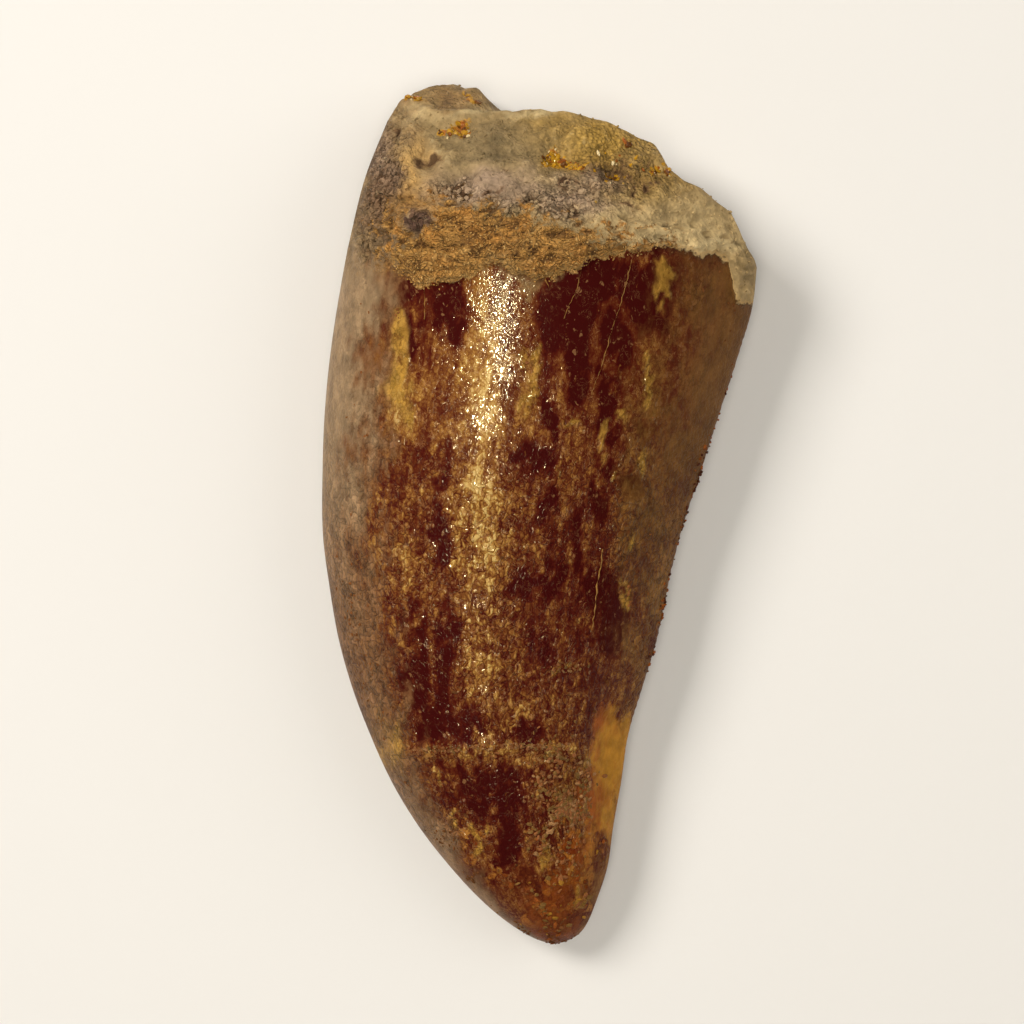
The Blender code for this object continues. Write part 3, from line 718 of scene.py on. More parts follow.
# node helpers
class NodeBench:
    def __init__(self, name):
        self.material = bpy.data.materials.new(name)
        self.material.use_nodes = True
        self.tree = self.material.node_tree
        self.surface = self.tree.nodes["Principled BSDF"]

    def node(self, kind, **settings):
        made = self.tree.nodes.new(kind)
        for key, value in settings.items():
            setattr(made, key, value)
        return made

    def wire(self, value, socket):
        if hasattr(value, "is_output"):
            self.tree.links.new(value, socket)
        elif value is not None:
            socket.default_value = value

    def attribute(self, name, output="Fac"):
        return self.node("ShaderNodeAttribute", attribute_name=name).outputs[output]

    def calc(self, operation, a, b=None, c=None, clamp=False):
        made = self.node("ShaderNodeMath", operation=operation, use_clamp=clamp)
        for value, socket in zip((a, b, c), made.inputs):
            self.wire(value, socket)
        return made.outputs[0]

    def times(self, a, b):
        return self.calc("MULTIPLY", a, b)

    def plus(self, base, value, amount):
        return self.calc("MULTIPLY_ADD", value, amount, base)

    def sway(self, base, noiseValue, amount):
        # base plus a noise that is centred on 0.5
        return self.plus(base, self.calc("SUBTRACT", noiseValue, 0.5), amount)

    def inMillimetres(self):
        return self.scaled(self.node("ShaderNodeTexCoord").outputs["Object"], (1 / mm,) * 3)

    def scaled(self, vector, amounts):
        made = self.node("ShaderNodeVectorMath", operation="MULTIPLY")
        self.wire(vector, made.inputs[0])
        self.wire(amounts, made.inputs[1])
        return made.outputs[0]

    def window(self, value, low, high, outLow=0.0, outHigh=1.0):
        made = self.node("ShaderNodeMapRange", interpolation_type="SMOOTHSTEP")
        for item, socket in zip((value, low, high, outLow, outHigh), made.inputs):
            self.wire(item, socket)
        return made.outputs[0]

    def clouds(self, vector, scale, detail=3.0, rough=0.55, twist=0.0):
        made = self.node("ShaderNodeTexNoise")
        self.wire(vector, made.inputs["Vector"])
        self.wire(scale, made.inputs["Scale"])
        self.wire(detail, made.inputs["Detail"])
        self.wire(rough, made.inputs["Roughness"])
        self.wire(twist, made.inputs["Distortion"])
        return made.outputs[0]

    def cells(self, vector, scale, feature="F1"):
        made = self.node("ShaderNodeTexVoronoi", feature=feature)
        self.wire(vector, made.inputs["Vector"])
        self.wire(scale, made.inputs["Scale"])
        return made.outputs["Distance"]

    def cellEdge(self, vector, scale):
        return self.cells(vector, scale, "DISTANCE_TO_EDGE")

    def cellValue(self, vector, scale):
        # one random number for each cell
        made = self.node("ShaderNodeTexVoronoi")
        self.wire(vector, made.inputs["Vector"])
        self.wire(scale, made.inputs["Scale"])
        split = self.node("ShaderNodeSeparateColor")
        self.wire(made.outputs["Color"], split.inputs[0])
        return split.outputs[0]

    def cloudColor(self, vector, scale):
        made = self.node("ShaderNodeTexNoise")
        self.wire(vector, made.inputs["Vector"])
        self.wire(scale, made.inputs["Scale"])
        made.inputs["Detail"].default_value = 0
        return made.outputs["Color"]

    def shifted(self, vector, push, amount):
        # places pushed about by a colour noise
        centred = self.node("ShaderNodeVectorMath", operation="SUBTRACT")
        self.wire(push, centred.inputs[0])
        centred.inputs[1].default_value = (0.5, 0.5, 0.5)
        made = self.node("ShaderNodeVectorMath", operation="MULTIPLY_ADD")
        self.wire(centred.outputs[0], made.inputs[0])
        made.inputs[1].default_value = (4 * amount,) * 3
        self.wire(vector, made.inputs[2])
        return made.outputs[0]

    def mix(self, cover, a, b, how="MIX"):
        made = self.node("ShaderNodeMix", data_type="RGBA", blend_type=how)
        self.wire(cover, made.inputs[0])
        for value, socket in ((a, made.inputs[6]), (b, made.inputs[7])):
            self.wire((*value, 1) if isinstance(value, tuple) and len(value) == 3 else value, socket)
        return made.outputs[2]

    def between(self, cover, a, b):
        made = self.node("ShaderNodeMix", data_type="FLOAT")
        for value, socket in zip((cover, a, b), (made.inputs[0], made.inputs[2], made.inputs[3])):
            self.wire(value, socket)
        return made.outputs[0]

    def ramp(self, value, steps):
        made = self.node("ShaderNodeValToRGB")
        bar = made.color_ramp
        while len(bar.elements) < len(steps):
            bar.elements.new(0.5)
        for element, (at, color) in zip(bar.elements, steps):
            element.position, element.color = at, (*color, 1)
        self.wire(value, made.inputs[0])
        return made.outputs[0]

    def shade(self, color, amount):
        # colour times a number
        made = self.node("ShaderNodeVectorMath", operation="SCALE")
        self.wire(color, made.inputs[0])
        self.wire(amount, made.inputs["Scale"])
        return made.outputs[0]

    def finishSurface(self, color, rough, height=None, specular=0.5):
        self.wire(color, self.surface.inputs["Base Color"])
        self.wire(rough, self.surface.inputs["Roughness"])
        self.wire(specular, self.surface.inputs["Specular IOR Level"])
        if height is not None:
            bump = self.node("ShaderNodeBump")
            bump.inputs["Distance"].default_value = mm
            self.wire(height, bump.inputs["Height"])
            self.wire(bump.outputs[0], self.surface.inputs["Normal"])
        return self.material


cloudSpan = (0.36, 0.64)        # most of a cloud noise lies between these
# noises of the enamel and of the root: scale per mm, octaves, roughness, twist
crownNoise = {
    "patches": (0.5, 5, 0.62, 0.5), "streaks": (1.5, 4, 0.6), "worms": (2.2, 3, 0.55, 1.0),
    "fine": (7.0, 2, 0.5), "flakes": (1.4, 4, 0.6, 0.8), "breaks": (1.1, 3, 0.6),
    "tints": (1.2, 4, 0.6), "calm": (0.5, 3), "chip": (0.7, 3),
}
rootNoise = {
    "speck": (1.0, 5, 0.6), "lumps": (2.2, 3, 0.55), "fine": (6.0, 3, 0.6), "broad": (0.42, 4, 0.6),
    "holes": (1.5, 3, 0.6), "creviceShade": (1.0, 3, 0.6), "wave": (0.9, 4, 0.6, 0.8),
}
enamelLook = {
    # the tone of the gaps between the grains is painted shade
    "patch": 0.3, "streak": 0.2, "flakes": 0.6, "gap": (0.02, 0.2), "grainTone": 0.3, "gapShade": 0.14,
    "fineTone": 0.2, "strokes": 0.5, "flecks": 0.4, "crumbTone": 0.38, "tintTone": 1.9,
    # scales are cells per mm; a warp is the scale of a noise and how far it pushes the cells about
    "grainScale": 3.6, "grainWarp": (2.6, 0.08), "crumbScale": 2.3, "crumbWarp": (1.8, 0.15),
    "honeyScale": 1.15, "honeyWarp": (1.2, 0.2),
    "granularStart": (5, 11), "granularEnd": (34, 49),      # mm from the tip
    "gleam": (0.03, 0.8), "outerGleam": 0.12,
    "bareRoughness": 0.13, "filmRoughness": 0.13, "dullRoughness": 0.42,
    "bump": {"grain": 0.011, "worm": 0.012, "fine": 0.003, "blob": 0.05, "crumb": 0.06},
}
rootLook = {
    # crevice is how dark the painted shade in the crevices gets
    "roughness": 0.72, "amberRoughness": 0.2, "specular": 0.25, "crevice": 0.8, "quiet": 0.4,
    "knobScale": 1.75, "knobWarp": (1.4, 0.18), "chunkScale": 1.1, "chunkWarp": (0.6, 0.3),
    "crumbScale": 3.0, "sandScale": 1.7, "sandWarp": (1.3, 0.4),
    "chunkTone": (0.9, 1.08), "crumbTone": 0.2,
    "bump": {"rock": 0.15, "lumps": 0.06, "crumb": 0.08, "knob": 0.3, "hole": 0.2, "grit": 0.008,
             "sugar": 0.1, "ripple": 0.16, "sand": 0.06},
}
neckLook = {
    "blend": (1.6, 0.12),       # how soft the border is at the front edge and elsewhere, mm
    # rim is how dark the painted shadow under the root's edge gets
    "lip": 0.45, "rim": 0.55, "veil": 0.4,
    # mm past the enamel's end: below the first all is crown, above the second all is root
    "zone": (-4.5, 3.0),
}


def crownPart(b, place, acrossU):
    look, noises = enamelLook, crownNoise
    flowing = b.attribute("flow", "Vector")
    sides = b.calc("ABSOLUTE", acrossU)
    split = b.node("ShaderNodeSeparateXYZ")
    b.wire(flowing, split.inputs[0])
    height = split.outputs[1]
    granular = b.times(b.window(height, *look["granularStart"]),
                       b.window(height, *look["granularEnd"], 1, 0.2))
    calm = b.window(b.sway(sides, b.clouds(place, *noises["calm"]), 0.6), 0.62, 0.9, 1, 0.4)
    calm = b.calc("MAXIMUM", calm, b.times(granular, 0.85))

    # patches and streaks run with the crown, and the film is made of small crumbs; the gaps between its
    # grains and the edges of its flakes are darkened as painted shade
    longwise = b.scaled(place, (1.0, 0.62, 1.0))
    streaks = b.window(b.clouds(b.scaled(flowing, (1.0, 0.09, 1.0)), *noises["streaks"]), *cloudSpan)
    patchy = b.window(b.clouds(longwise, *noises["patches"]), *cloudSpan)
    worms = b.clouds(longwise, *noises["worms"])
    fine = b.clouds(place, *noises["fine"])
    thickness = b.attribute("film")
    film = b.sway(thickness, patchy, look["patch"])
    film = b.sway(film, streaks, look["streak"])
    film = b.sway(film, b.clouds(longwise, *noises["flakes"]), look["flakes"])
    scale, push = look["grainWarp"]
    warped = b.shifted(b.scaled(place, (1.0, 0.75, 1.0)), b.cloudColor(place, scale), push)
    grainEdge = b.cellEdge(warped, look["grainScale"])
    grainLuck = b.cellValue(warped, look["grainScale"])
    grains = b.window(grainEdge, *look["gap"])
    scale, push = look["crumbWarp"]
    flakePlace = b.shifted(longwise, b.cloudColor(place, scale), push)
    flakeEdge = b.window(b.cellEdge(flakePlace, look["crumbScale"]), 0.0, 0.2)
    # painted light on the flake tops and painted shade at their edges, where the bump falls away
    flakeLuck = b.sway(b.cellValue(flakePlace, look["crumbScale"]), flakeEdge, 0.5)
    strength = b.times(calm, b.window(film, 0.1, 0.5, 0.28, 1))
    tones = b.times(b.calc("SUBTRACT", grainLuck, 0.5), look["grainTone"])
    tones = b.sway(tones, fine, look["fineTone"])
    # painted shade in the gaps between the grains
    tones = b.plus(tones, b.calc("SUBTRACT", grains, 0.7), look["gapShade"])
    tones = b.sway(tones, flakeLuck, b.times(granular, look["crumbTone"]))
    color = b.ramp(b.plus(film, tones, strength), enamelSteps)

    # thin pale strokes that wind through the film, and single flecks on the dark enamel
    strokeLine = b.calc("ABSOLUTE", b.calc("SUBTRACT", worms, 0.5))
    broken = b.window(b.clouds(place, *noises["breaks"]), 0.47, 0.6)
    strokes = b.times(b.window(strokeLine, 0.006, 0.03, 1, 0), broken)
    strokes = b.times(strokes, b.times(strength, look["strokes"]))
    flecks = b.times(b.window(b.sway(grainLuck, worms, 1.2), 0.95, 1.05), grains)
    strokes = b.calc("MAXIMUM", strokes, b.times(flecks, look["flecks"]))
    color = b.mix(strokes, color, toothColors["crumbTan"])

    # honey lumps near the tip
    scale, push = look["honeyWarp"]
    lumpPlace = b.shifted(place, b.cloudColor(place, scale), push)
    lumpLuck = b.cellValue(lumpPlace, look["honeyScale"])
    lumpEdge = b.window(b.cellEdge(lumpPlace, look["honeyScale"]), 0.02, 0.16)
    honeyTone = b.ramp(b.sway(lumpLuck, fine, 0.6), honeySteps)
    honeyTone = b.shade(honeyTone, b.window(b.sway(lumpEdge, grainLuck, 0.4), 0, 1, 0.8, 1.06))
    honey = b.sway(b.sway(b.attribute("honey"), lumpLuck, 0.5), worms, 1.0)
    color = b.mix(b.window(honey, 0.3, 0.62, 0, 0.9), color, honeyTone)

    # broad tints of the two edges, the tip and single spots
    streaky = b.clouds(longwise, *noises["tints"])
    shades = b.sway(b.sway(1.0, patchy, 0.3), streaky, 1.1)
    shades = b.plus(shades, b.times(tones, strength), look["tintTone"])
    ragged = b.sway(b.sway(b.sway(b.attribute("tintCover"), patchy, 0.22), worms, 0.8), grainLuck, 0.25)
    tint = b.shade(b.attribute("crownTint", "Color"), shades)
    color = b.mix(b.window(ragged, 0.05, 0.95), color, tint)

    # scar at the rear edge
    chipField = b.attribute("chipField")
    chip = b.sway(b.sway(chipField, patchy, 0.16), worms, 0.7)
    chipCover = b.window(b.sway(chip, grainLuck, 0.12), -0.08, 0.46)
    chipSide = b.sway(b.sway(acrossU, patchy, 0.25), b.clouds(place, *noises["chip"]), 0.5)
    chipTone = b.mix(b.window(chipSide, 0.62, 1.0), toothColors["chipRed"], toothColors["chipOchre"])
    chipTone = b.shade(chipTone, b.window(streaky, 0.3, 0.7, 0.74, 1.2))
    color = b.mix(chipCover, color, chipTone)

    # how glossy: only the tops of polished crumbs gleam
    polish = b.sway(b.sway(b.attribute("polish"), worms, 1.6), grainLuck, 0.5)
    gleam = b.times(b.window(polish, 0.3, 0.7), b.window(grainEdge, 0.02, 0.1, 0.2, 1))
    outer = b.calc("MAXIMUM", b.window(sides, 0.5, 0.8), b.window(height, 2.0, 9.0, 1, 0))
    rough = b.between(b.window(film, 0.2, 0.5), look["bareRoughness"], look["filmRoughness"])
    rough = b.between(outer, rough, look["dullRoughness"])
    rough = b.between(chipCover, rough, look["dullRoughness"])
    specular = b.between(outer, b.between(gleam, *look["gleam"]), look["outerGleam"])

    # bump heights in mm
    lift = look["bump"]
    bump = b.times(worms, b.window(thickness, 0.0, 0.5, 0.3 * lift["worm"], lift["worm"]))
    bump = b.plus(bump, fine, lift["fine"])
    dome = b.times(b.window(grainEdge, 0.0, 0.3), b.window(thickness, 0.1, 0.4, 0.3, 1))
    bump = b.plus(bump, dome, lift["grain"])
    flaky = b.times(granular, b.window(thickness, 0.1, 0.4, 0.28, 1))
    bump = b.plus(bump, b.times(flakeEdge, flaky), lift["crumb"])
    blobs = b.window(b.sway(b.attribute("ochreField"), worms, 0.6), -0.1, 0.5)
    bump = b.plus(bump, blobs, lift["blob"])
    bump = b.times(bump, b.window(chipField, 0.0, 0.3, 1, 0.3))
    return color, rough, bump, specular, worms


def rootPart(b, place):
    look, noises = rootLook, rootNoise
    # rock tints over chipped planes and knobs; painted shade in the hollows and painted light on the tops
    # of the fine relief and of the crumbs
    speck = b.clouds(place, *noises["speck"])
    lumps = b.clouds(place, *noises["lumps"])
    fineSpeck = b.clouds(place, *noises["fine"])
    crevice, sugary = b.attribute("crevice"), b.attribute("sugary")
    busy = b.calc("ADD", b.calc("ADD", crevice, sugary), look["quiet"], clamp=True)
    scale, push = look["chunkWarp"]
    chunks = b.cellValue(b.shifted(place, b.cloudColor(place, scale), push), look["chunkScale"])
    crumbDome = b.window(b.cells(place, look["crumbScale"]), 0.0, 0.75, 1, 0)
    crumbLuck = b.cellValue(place, look["crumbScale"])
    # crumbs are painted lighter on their domed tops, which the bump raises
    crumbs = b.times(b.sway(b.sway(0.0, crumbLuck, 1), crumbDome, 1), busy)
    scale, push = look["knobWarp"]
    knobPlace = b.shifted(place, b.cloudColor(place, scale), push)
    knobEdge = b.window(b.cellEdge(knobPlace, look["knobScale"]), 0.0, 0.3)
    knobLuck = b.cellValue(knobPlace, look["knobScale"])
    holes = b.window(b.clouds(place, *noises["holes"]), 0.37, 0.47, 1, 0)
    fineRise = b.attribute("fineRise")
    # hollow follows the fine relief with two noises: its low places get painted shade, its high ones
    # painted light
    hollow = b.sway(b.sway(fineRise, speck, 1.3), lumps, 0.6)
    broad = b.clouds(place, *noises["broad"])
    sugarTone = b.sway(b.sway(0.0, crumbLuck, 0.3), crumbDome, 0.26)
    knobTone = b.times(b.calc("SUBTRACT", knobLuck, 0.4), b.times(crevice, 0.4))
    color = b.attribute("rootTint", "Color")
    for amount in (b.window(hollow, -0.4, 0.35, 0.74, 1.14), b.window(chunks, 0, 1, *look["chunkTone"]),
                   b.window(broad, *cloudSpan, 0.88, 1.14), b.plus(1.0, crumbs, look["crumbTone"]),
                   b.plus(1.0, sugarTone, sugary), b.calc("ADD", b.sway(1.0, fineSpeck, 0.16), knobTone)):
        color = b.shade(color, amount)
    # painted light: the highest tops of the fine relief turn cream
    color = b.mix(b.window(hollow, 0.12, 0.45, 0, 0.22), color, toothColors["cream"])

    # painted shade in the crevices and holes between knobs, then dark pits
    gapMask = b.window(b.sway(b.clouds(place, *noises["creviceShade"]), crevice, 0.1), 0.4, 0.54)
    creviceShade = b.times(b.window(knobEdge, 0.05, 0.6, 0.8, 0), gapMask)
    creviceShade = b.calc("MAXIMUM", creviceShade, holes)
    creviceShade = b.times(b.times(creviceShade, crevice), look["crevice"])
    gapShade = b.mix(b.window(lumps, 0.44, 0.58), toothColors["pitBrownAndShade"], toothColors["darkPitAndShade"])
    color = b.mix(creviceShade, color, gapShade)
    pits = b.sway(b.sway(b.attribute("darkField"), speck, 2.0), lumps, 1.2)
    color = b.mix(b.window(pits, -0.05, 0.25, 0, 0.6), color, toothColors["pitBrownAndShade"])
    color = b.mix(b.window(pits, 0.25, 0.55, 0, 0.75), color, toothColors["darkPitAndShade"])

    # amber pockets
    amberCover = b.window(b.sway(b.attribute("amberField"), lumps, 0.6), -0.1, 0.15)
    amberTone = b.mix(b.window(lumps, 0.42, 0.56), toothColors["amberDark"], toothColors["amber"])
    amberTone = b.mix(b.window(speck, 0.5, 0.62, 0, 0.8), amberTone, toothColors["orangeRim"])
    color = b.mix(b.times(amberCover, 0.9), color, amberTone)
    rough = b.between(amberCover, look["roughness"], look["amberRoughness"])

    # sandy crust: wavy ridges, painted lighter on their tops, with painted shade in the thin valleys
    # between them
    sandPlace = b.scaled(place, (0.85, 1.2, 1.0))
    wave = b.clouds(sandPlace, *noises["wave"])
    scale, push = look["sandWarp"]
    sandPlace = b.shifted(sandPlace, b.cloudColor(place, scale), push)
    ridges = b.window(b.cellEdge(sandPlace, look["sandScale"]), 0.0, 0.2)
    sandTone = b.mix(b.window(broad, 0.42, 0.6), toothColors["crust"], toothColors["crustOrange"])
    # painted light on the wave crests that the bump raises
    light = b.window(b.sway(wave, fineSpeck, 0.3), 0.48, 0.7, 0, 0.4)
    sandTone = b.mix(light, sandTone, toothColors["crustLight"])
    # painted light on the tops of the mesh relief and painted shade in its low places
    sandTone = b.shade(sandTone, b.window(fineRise, -0.05, 0.16, 0.94, 1.16))
    sandTone = b.shade(sandTone, b.window(speck, *cloudSpan, 0.8, 1.16))
    # painted shade in the valleys between the sand ridges and in the low places of the mesh relief
    valleyShade = b.times(b.calc("SUBTRACT", 1, ridges), b.window(wave, 0.4, 0.56, 0.15, 1))
    low = b.window(b.sway(fineRise, speck, 0.3), -0.2, 0.0, 1, 0)
    valleyShade = b.calc("MAXIMUM", b.times(valleyShade, 0.45), low)
    sandTone = b.mix(b.times(valleyShade, 0.85), sandTone, toothColors["crustShade"])
    # painted shade at the edges of the sand crumbs
    sandTone = b.shade(sandTone, b.sway(b.window(crumbDome, 0, 1, 0.88, 1.05), fineSpeck, 0.35))
    crustCover = b.window(b.sway(b.sway(b.attribute("crustSpan"), speck, 3.4), lumps, 2.6), -0.35, 0.5)
    color = b.mix(crustCover, color, sandTone)

    # bump heights in mm
    lift = look["bump"]
    stone = b.sway(b.sway(b.sway(0.0, speck, lift["rock"]), lumps, lift["lumps"]), fineSpeck, lift["grit"])
    stone = b.plus(stone, b.times(crumbDome, busy), lift["crumb"])
    stone = b.sway(stone, crumbDome, b.times(sugary, lift["sugar"]))
    stone = b.plus(stone, b.sway(0.0, knobEdge, lift["knob"]), crevice)
    stone = b.plus(stone, b.times(holes, crevice), -lift["hole"])
    sand = b.sway(b.sway(0.0, ridges, lift["ripple"]), crumbDome, lift["sand"])
    sand = b.sway(b.sway(sand, fineSpeck, lift["sand"]), wave, 2.5 * lift["ripple"])
    return color, rough, b.between(crustCover, stone, sand), look["specular"], speck, lumps


def neckPart(b, acrossU, crown, root):
    look = neckLook
    color, rough, bump, specular, worms = crown
    rootColor, rootRough, rootBump, rootSpecular, speck, lumps = root
    rootEdge = b.sway(b.sway(b.attribute("pastEnamel"), speck, 1.3), lumps, 1.0)
    softness = b.window(acrossU, -0.85, -0.55, *look["blend"])
    rootCover = b.window(rootEdge, b.times(softness, -1), softness)

    # a light lip where the root starts, and painted shadow in a dark line under the raised root edge at the
    # rear
    lip = b.times(b.window(rootEdge, -0.05, 0.12), b.window(rootEdge, 0.2, 0.5, 1, 0))
    lip = b.times(lip, b.window(acrossU, -0.75, -0.5, 0, look["lip"]))
    rootColor = b.mix(lip, rootColor, toothColors["crustLight"])
    rim = b.times(b.window(rootEdge, -0.4, -0.05), b.window(acrossU, 0.35, 0.6, 0, look["rim"]))
    color = b.mix(rootCover, b.mix(rim, color, toothColors["darkPitAndShade"]), rootColor)

    # thin grey veil on the enamel under the crust
    veiled = b.attribute("veil")
    veil = b.window(b.sway(b.sway(veiled, speck, 1.6), worms, 0.8), 0.25, 0.75, 0, look["veil"])
    veil = b.times(veil, b.window(veiled, 0.02, 0.15))
    veilTone = b.shade(toothColors["greyFilm"], b.window(lumps, *cloudSpan, 0.7, 1.2))
    color = b.mix(veil, color, veilTone)
    rough = b.between(rootCover, rough, rootRough)
    return color, rough, b.between(rootCover, bump, rootBump), b.between(rootCover, specular, rootSpecular)


def toothSurface(zone):
    # the crown alone, the root alone, or the neck where one runs into the other
    b = NodeBench(zone + "Surface")
    place, acrossU = b.inMillimetres(), b.attribute("acrossU")
    if zone == "crown":
        return b.finishSurface(*crownPart(b, place, acrossU)[:4])
    if zone == "root":
        return b.finishSurface(*rootPart(b, place)[:4])
    return b.finishSurface(*neckPart(b, acrossU, crownPart(b, place, acrossU), rootPart(b, place)))


def zoneOf(face):
    past = pastEnamel[list(face)]
    if past.max() < neckLook["zone"][0]:
        return "crown"
    return "root" if past.min() > neckLook["zone"][1] else "neck"


zones = ("neck", "crown", "root")
for zone in zones:
    mesh.materials.append(toothSurface(zone))
mesh.polygons.foreach_set("material_index", [zones.index(zoneOf(face)) for face in faces])


def placeOnTooth(piece):
    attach(piece, "root")


placeOnTooth(tooth)
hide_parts("tooth")
print("tooth surface painted")

# small grains that cling to it; tints are a share of the colour underneath
normals = np.empty(len(points) * 3, np.float32)
mesh.vertex_normals.foreach_get("vector", normals)
normals = normals.reshape(-1, 3)
underRoot = rootTint[:, :3]
underCrown = (0.3 + 1.1 * np.clip(film, 0, 1))[:, None] * toothColors["crumbPink"]
# size is half a grain's width (mm); tones are picked by chance unless the grain takes the colour under it
grainSets = {
    "crustSand": {"count": 2000, "size": (0.05, 0.11), "flat": 0.7, "gloss": 0.85, "bright": (0.7, 1.0),
                  "tones": ("crust", "crust", "crust", "crustLight")},
    "rootGrit": {"count": 1500, "size": (0.06, 0.17), "flat": 0.7, "gloss": 0.8, "bright": (0.6, 1.15),
                 "under": underRoot},
    "sugarCrystals": {"count": 190, "size": (0.12, 0.3), "flat": 0.7, "gloss": 0.1, "shine": 0.8,
                      "bright": (0.6, 1.1), "tones": ("amber", "amber", "orangeRim", "amberDark", "amber")},
    "sugarSparks": {"count": 26, "size": (0.09, 0.2), "flat": 0.9, "gloss": 0.06, "shine": 1.0,
                    "bright": (0.9, 1.2), "tones": ("cream", "cream", "sugar")},
    "wrinkleCrumbs": {"count": 260, "size": (0.07, 0.17), "flat": 0.45, "gloss": 0.5, "bright": (0.45, 0.8),
                      "tones": ("crumbTan", "crumbPink", "tipTan", "crumbPink")},
    "edgeCrumbs": {"count": 170, "size": (0.08, 0.2), "flat": 0.8, "gloss": 0.6, "bright": (0.5, 1.1),
                   "tones": ("chipRed", "redBrown"), "onEdge": True},
    "enamelCrumbs": {"count": 1900, "size": (0.06, 0.17), "flat": 0.4, "gloss": 0.6, "shine": 0.03,
                     "bright": (0.45, 0.9), "under": underCrown},
    "pearlGrains": {"count": 560, "size": (0.12, 0.24), "flat": 0.42, "gloss": 0.4, "shine": 0.08,
                    "bright": (0.55, 0.88),
                    "tones": ("tipTan", "crumbTan", "crumbPink", "crumbPink", "tipTan")},
    "tipCrumbs": {"count": 150, "size": (0.1, 0.32), "flat": 0.3, "gloss": 0.5, "shine": 0.05,
                  "bright": (0.55, 1.0),
                  "tones": ("chipOchre", "chipRed", "crumbPink", "tipOrange", "tipTan")},
    "rootKnobs": {"count": 420, "size": (0.13, 0.34), "flat": 0.65, "gloss": 0.8, "bright": (0.7, 1.15),
                  "under": underRoot},
}
# where grains gather: x, height, radius across, radius along
grainSpots = {
    "sugar": (5.4, 64.8, 3.2, 1.2), "sparks": (5.5, 64.0, 3.5, 1.8), "pearls": (1.7, 13.0, 1.7, 3.0),
    "tip": (1.6, 6.0, 3.2, 4.2), "step": (2.2, 23.8, 1.3, 0.22),
}
insideEnamel = 1 - ease(-0.7, -0.2, pastEnamel)
onRoot, wellOnRoot = ease(0.1, 0.5, pastEnamel), ease(0.2, 0.6, pastEnamel)
offCrust = 1 - ease(-0.2, 0.4, crustSpan)
clumps = ease(0.0, 0.35, grained(xAll, hAll, (1.6, 2.6), seeds["clumps"]))
inSpot = {name: frontSide * bell(xAll, hAll, mark) for name, mark in grainSpots.items()}
onWrinkle = {"above": 0.15, "width": 0.22, "span": (-11.5, -10, 1.5, 3.2)}      # mm
aboveWrinkle = hAll - along(crownForms["wrinkle"], xAll) - onWrinkle["above"]
wrinkle = np.exp(-((aboveWrinkle / onWrinkle["width"]) ** 2))
likely = {
    "crustSand": ease(0.0, 0.9, crustSpan) * ease(-0.3, 0.1, pastEnamel),
    "rootGrit": onRoot * offCrust * (1 - ease(-0.3, 0.2, darkField)),
    "rootKnobs": frontSide * ease(0.3, 0.8, crevice) * onRoot * (1 - ease(-0.4, 0.1, crustSpan)),
    "sugarCrystals": (np.clip(amberField - 0.05, 0, 1) + 0.012 * inSpot["sugar"]) * wellOnRoot,
    "sugarSparks": frontSide * wellOnRoot * (np.clip(amberField + 0.5, 0, 1) + 0.5 * inSpot["sparks"]),
    "enamelCrumbs": insideEnamel * (0.06 + clumps) * (1.2 - ease(26, 44, hAll))
    * (1 - ease(0.0, 0.2, chipField)) * ease(0.12, 0.5, film),
    "pearlGrains": insideEnamel * inSpot["pearls"] * (0.15 + clumps),
    "tipCrumbs": insideEnamel * inSpot["tip"] * (0.1 + clumps) * ease(-0.1, 0.4, 0.2 - oxField),
    "wrinkleCrumbs": wrinkle * frontSide * within(onWrinkle["span"], xAll) + inSpot["step"],
    "edgeCrumbs": ease(0.965, 0.985, uAll) * within((22, 26, 47, 50), hAll) * (0.1 + clumps),
}
raised = (points[:, 2] > 0.5).astype(float)
offEdge = 1 - ease(0.86, 0.97, np.abs(uAll))
gold = (1 + 5 ** 0.5) / 2
grainCorners = np.array([(-1, gold, 0), (1, gold, 0), (-1, -gold, 0), (1, -gold, 0), (0, -1, gold),
                         (0, 1, gold), (0, -1, -gold), (0, 1, -gold), (gold, 0, -1), (gold, 0, 1),
                         (-gold, 0, -1), (-gold, 0, 1)])
grainCorners /= np.linalg.norm(grainCorners[0])
grainFaces = np.array([(0, 11, 5), (0, 5, 1), (0, 1, 7), (0, 7, 10), (0, 10, 11), (1, 5, 9), (5, 11, 4),
                       (11, 10, 2), (10, 7, 6), (7, 1, 8), (3, 9, 4), (3, 4, 2), (3, 2, 6), (3, 6, 8),
                       (3, 8, 9), (4, 9, 5), (2, 4, 11), (6, 2, 10), (8, 6, 7), (9, 8, 1)])


grainDust = {"noise": (9.0, 3, 0.6), "tone": (0.75, 1.2), "bump": 0.05}


def grainStuff(name, gloss, shine):
    b = NodeBench(name + "Stuff")
    dust = b.clouds(b.inMillimetres(), *grainDust["noise"])
    color = b.shade(b.attribute("grainTint", "Color"), b.window(dust, 0.3, 0.7, *grainDust["tone"]))
    return b.finishSurface(color, gloss, b.times(dust, grainDust["bump"]), shine)


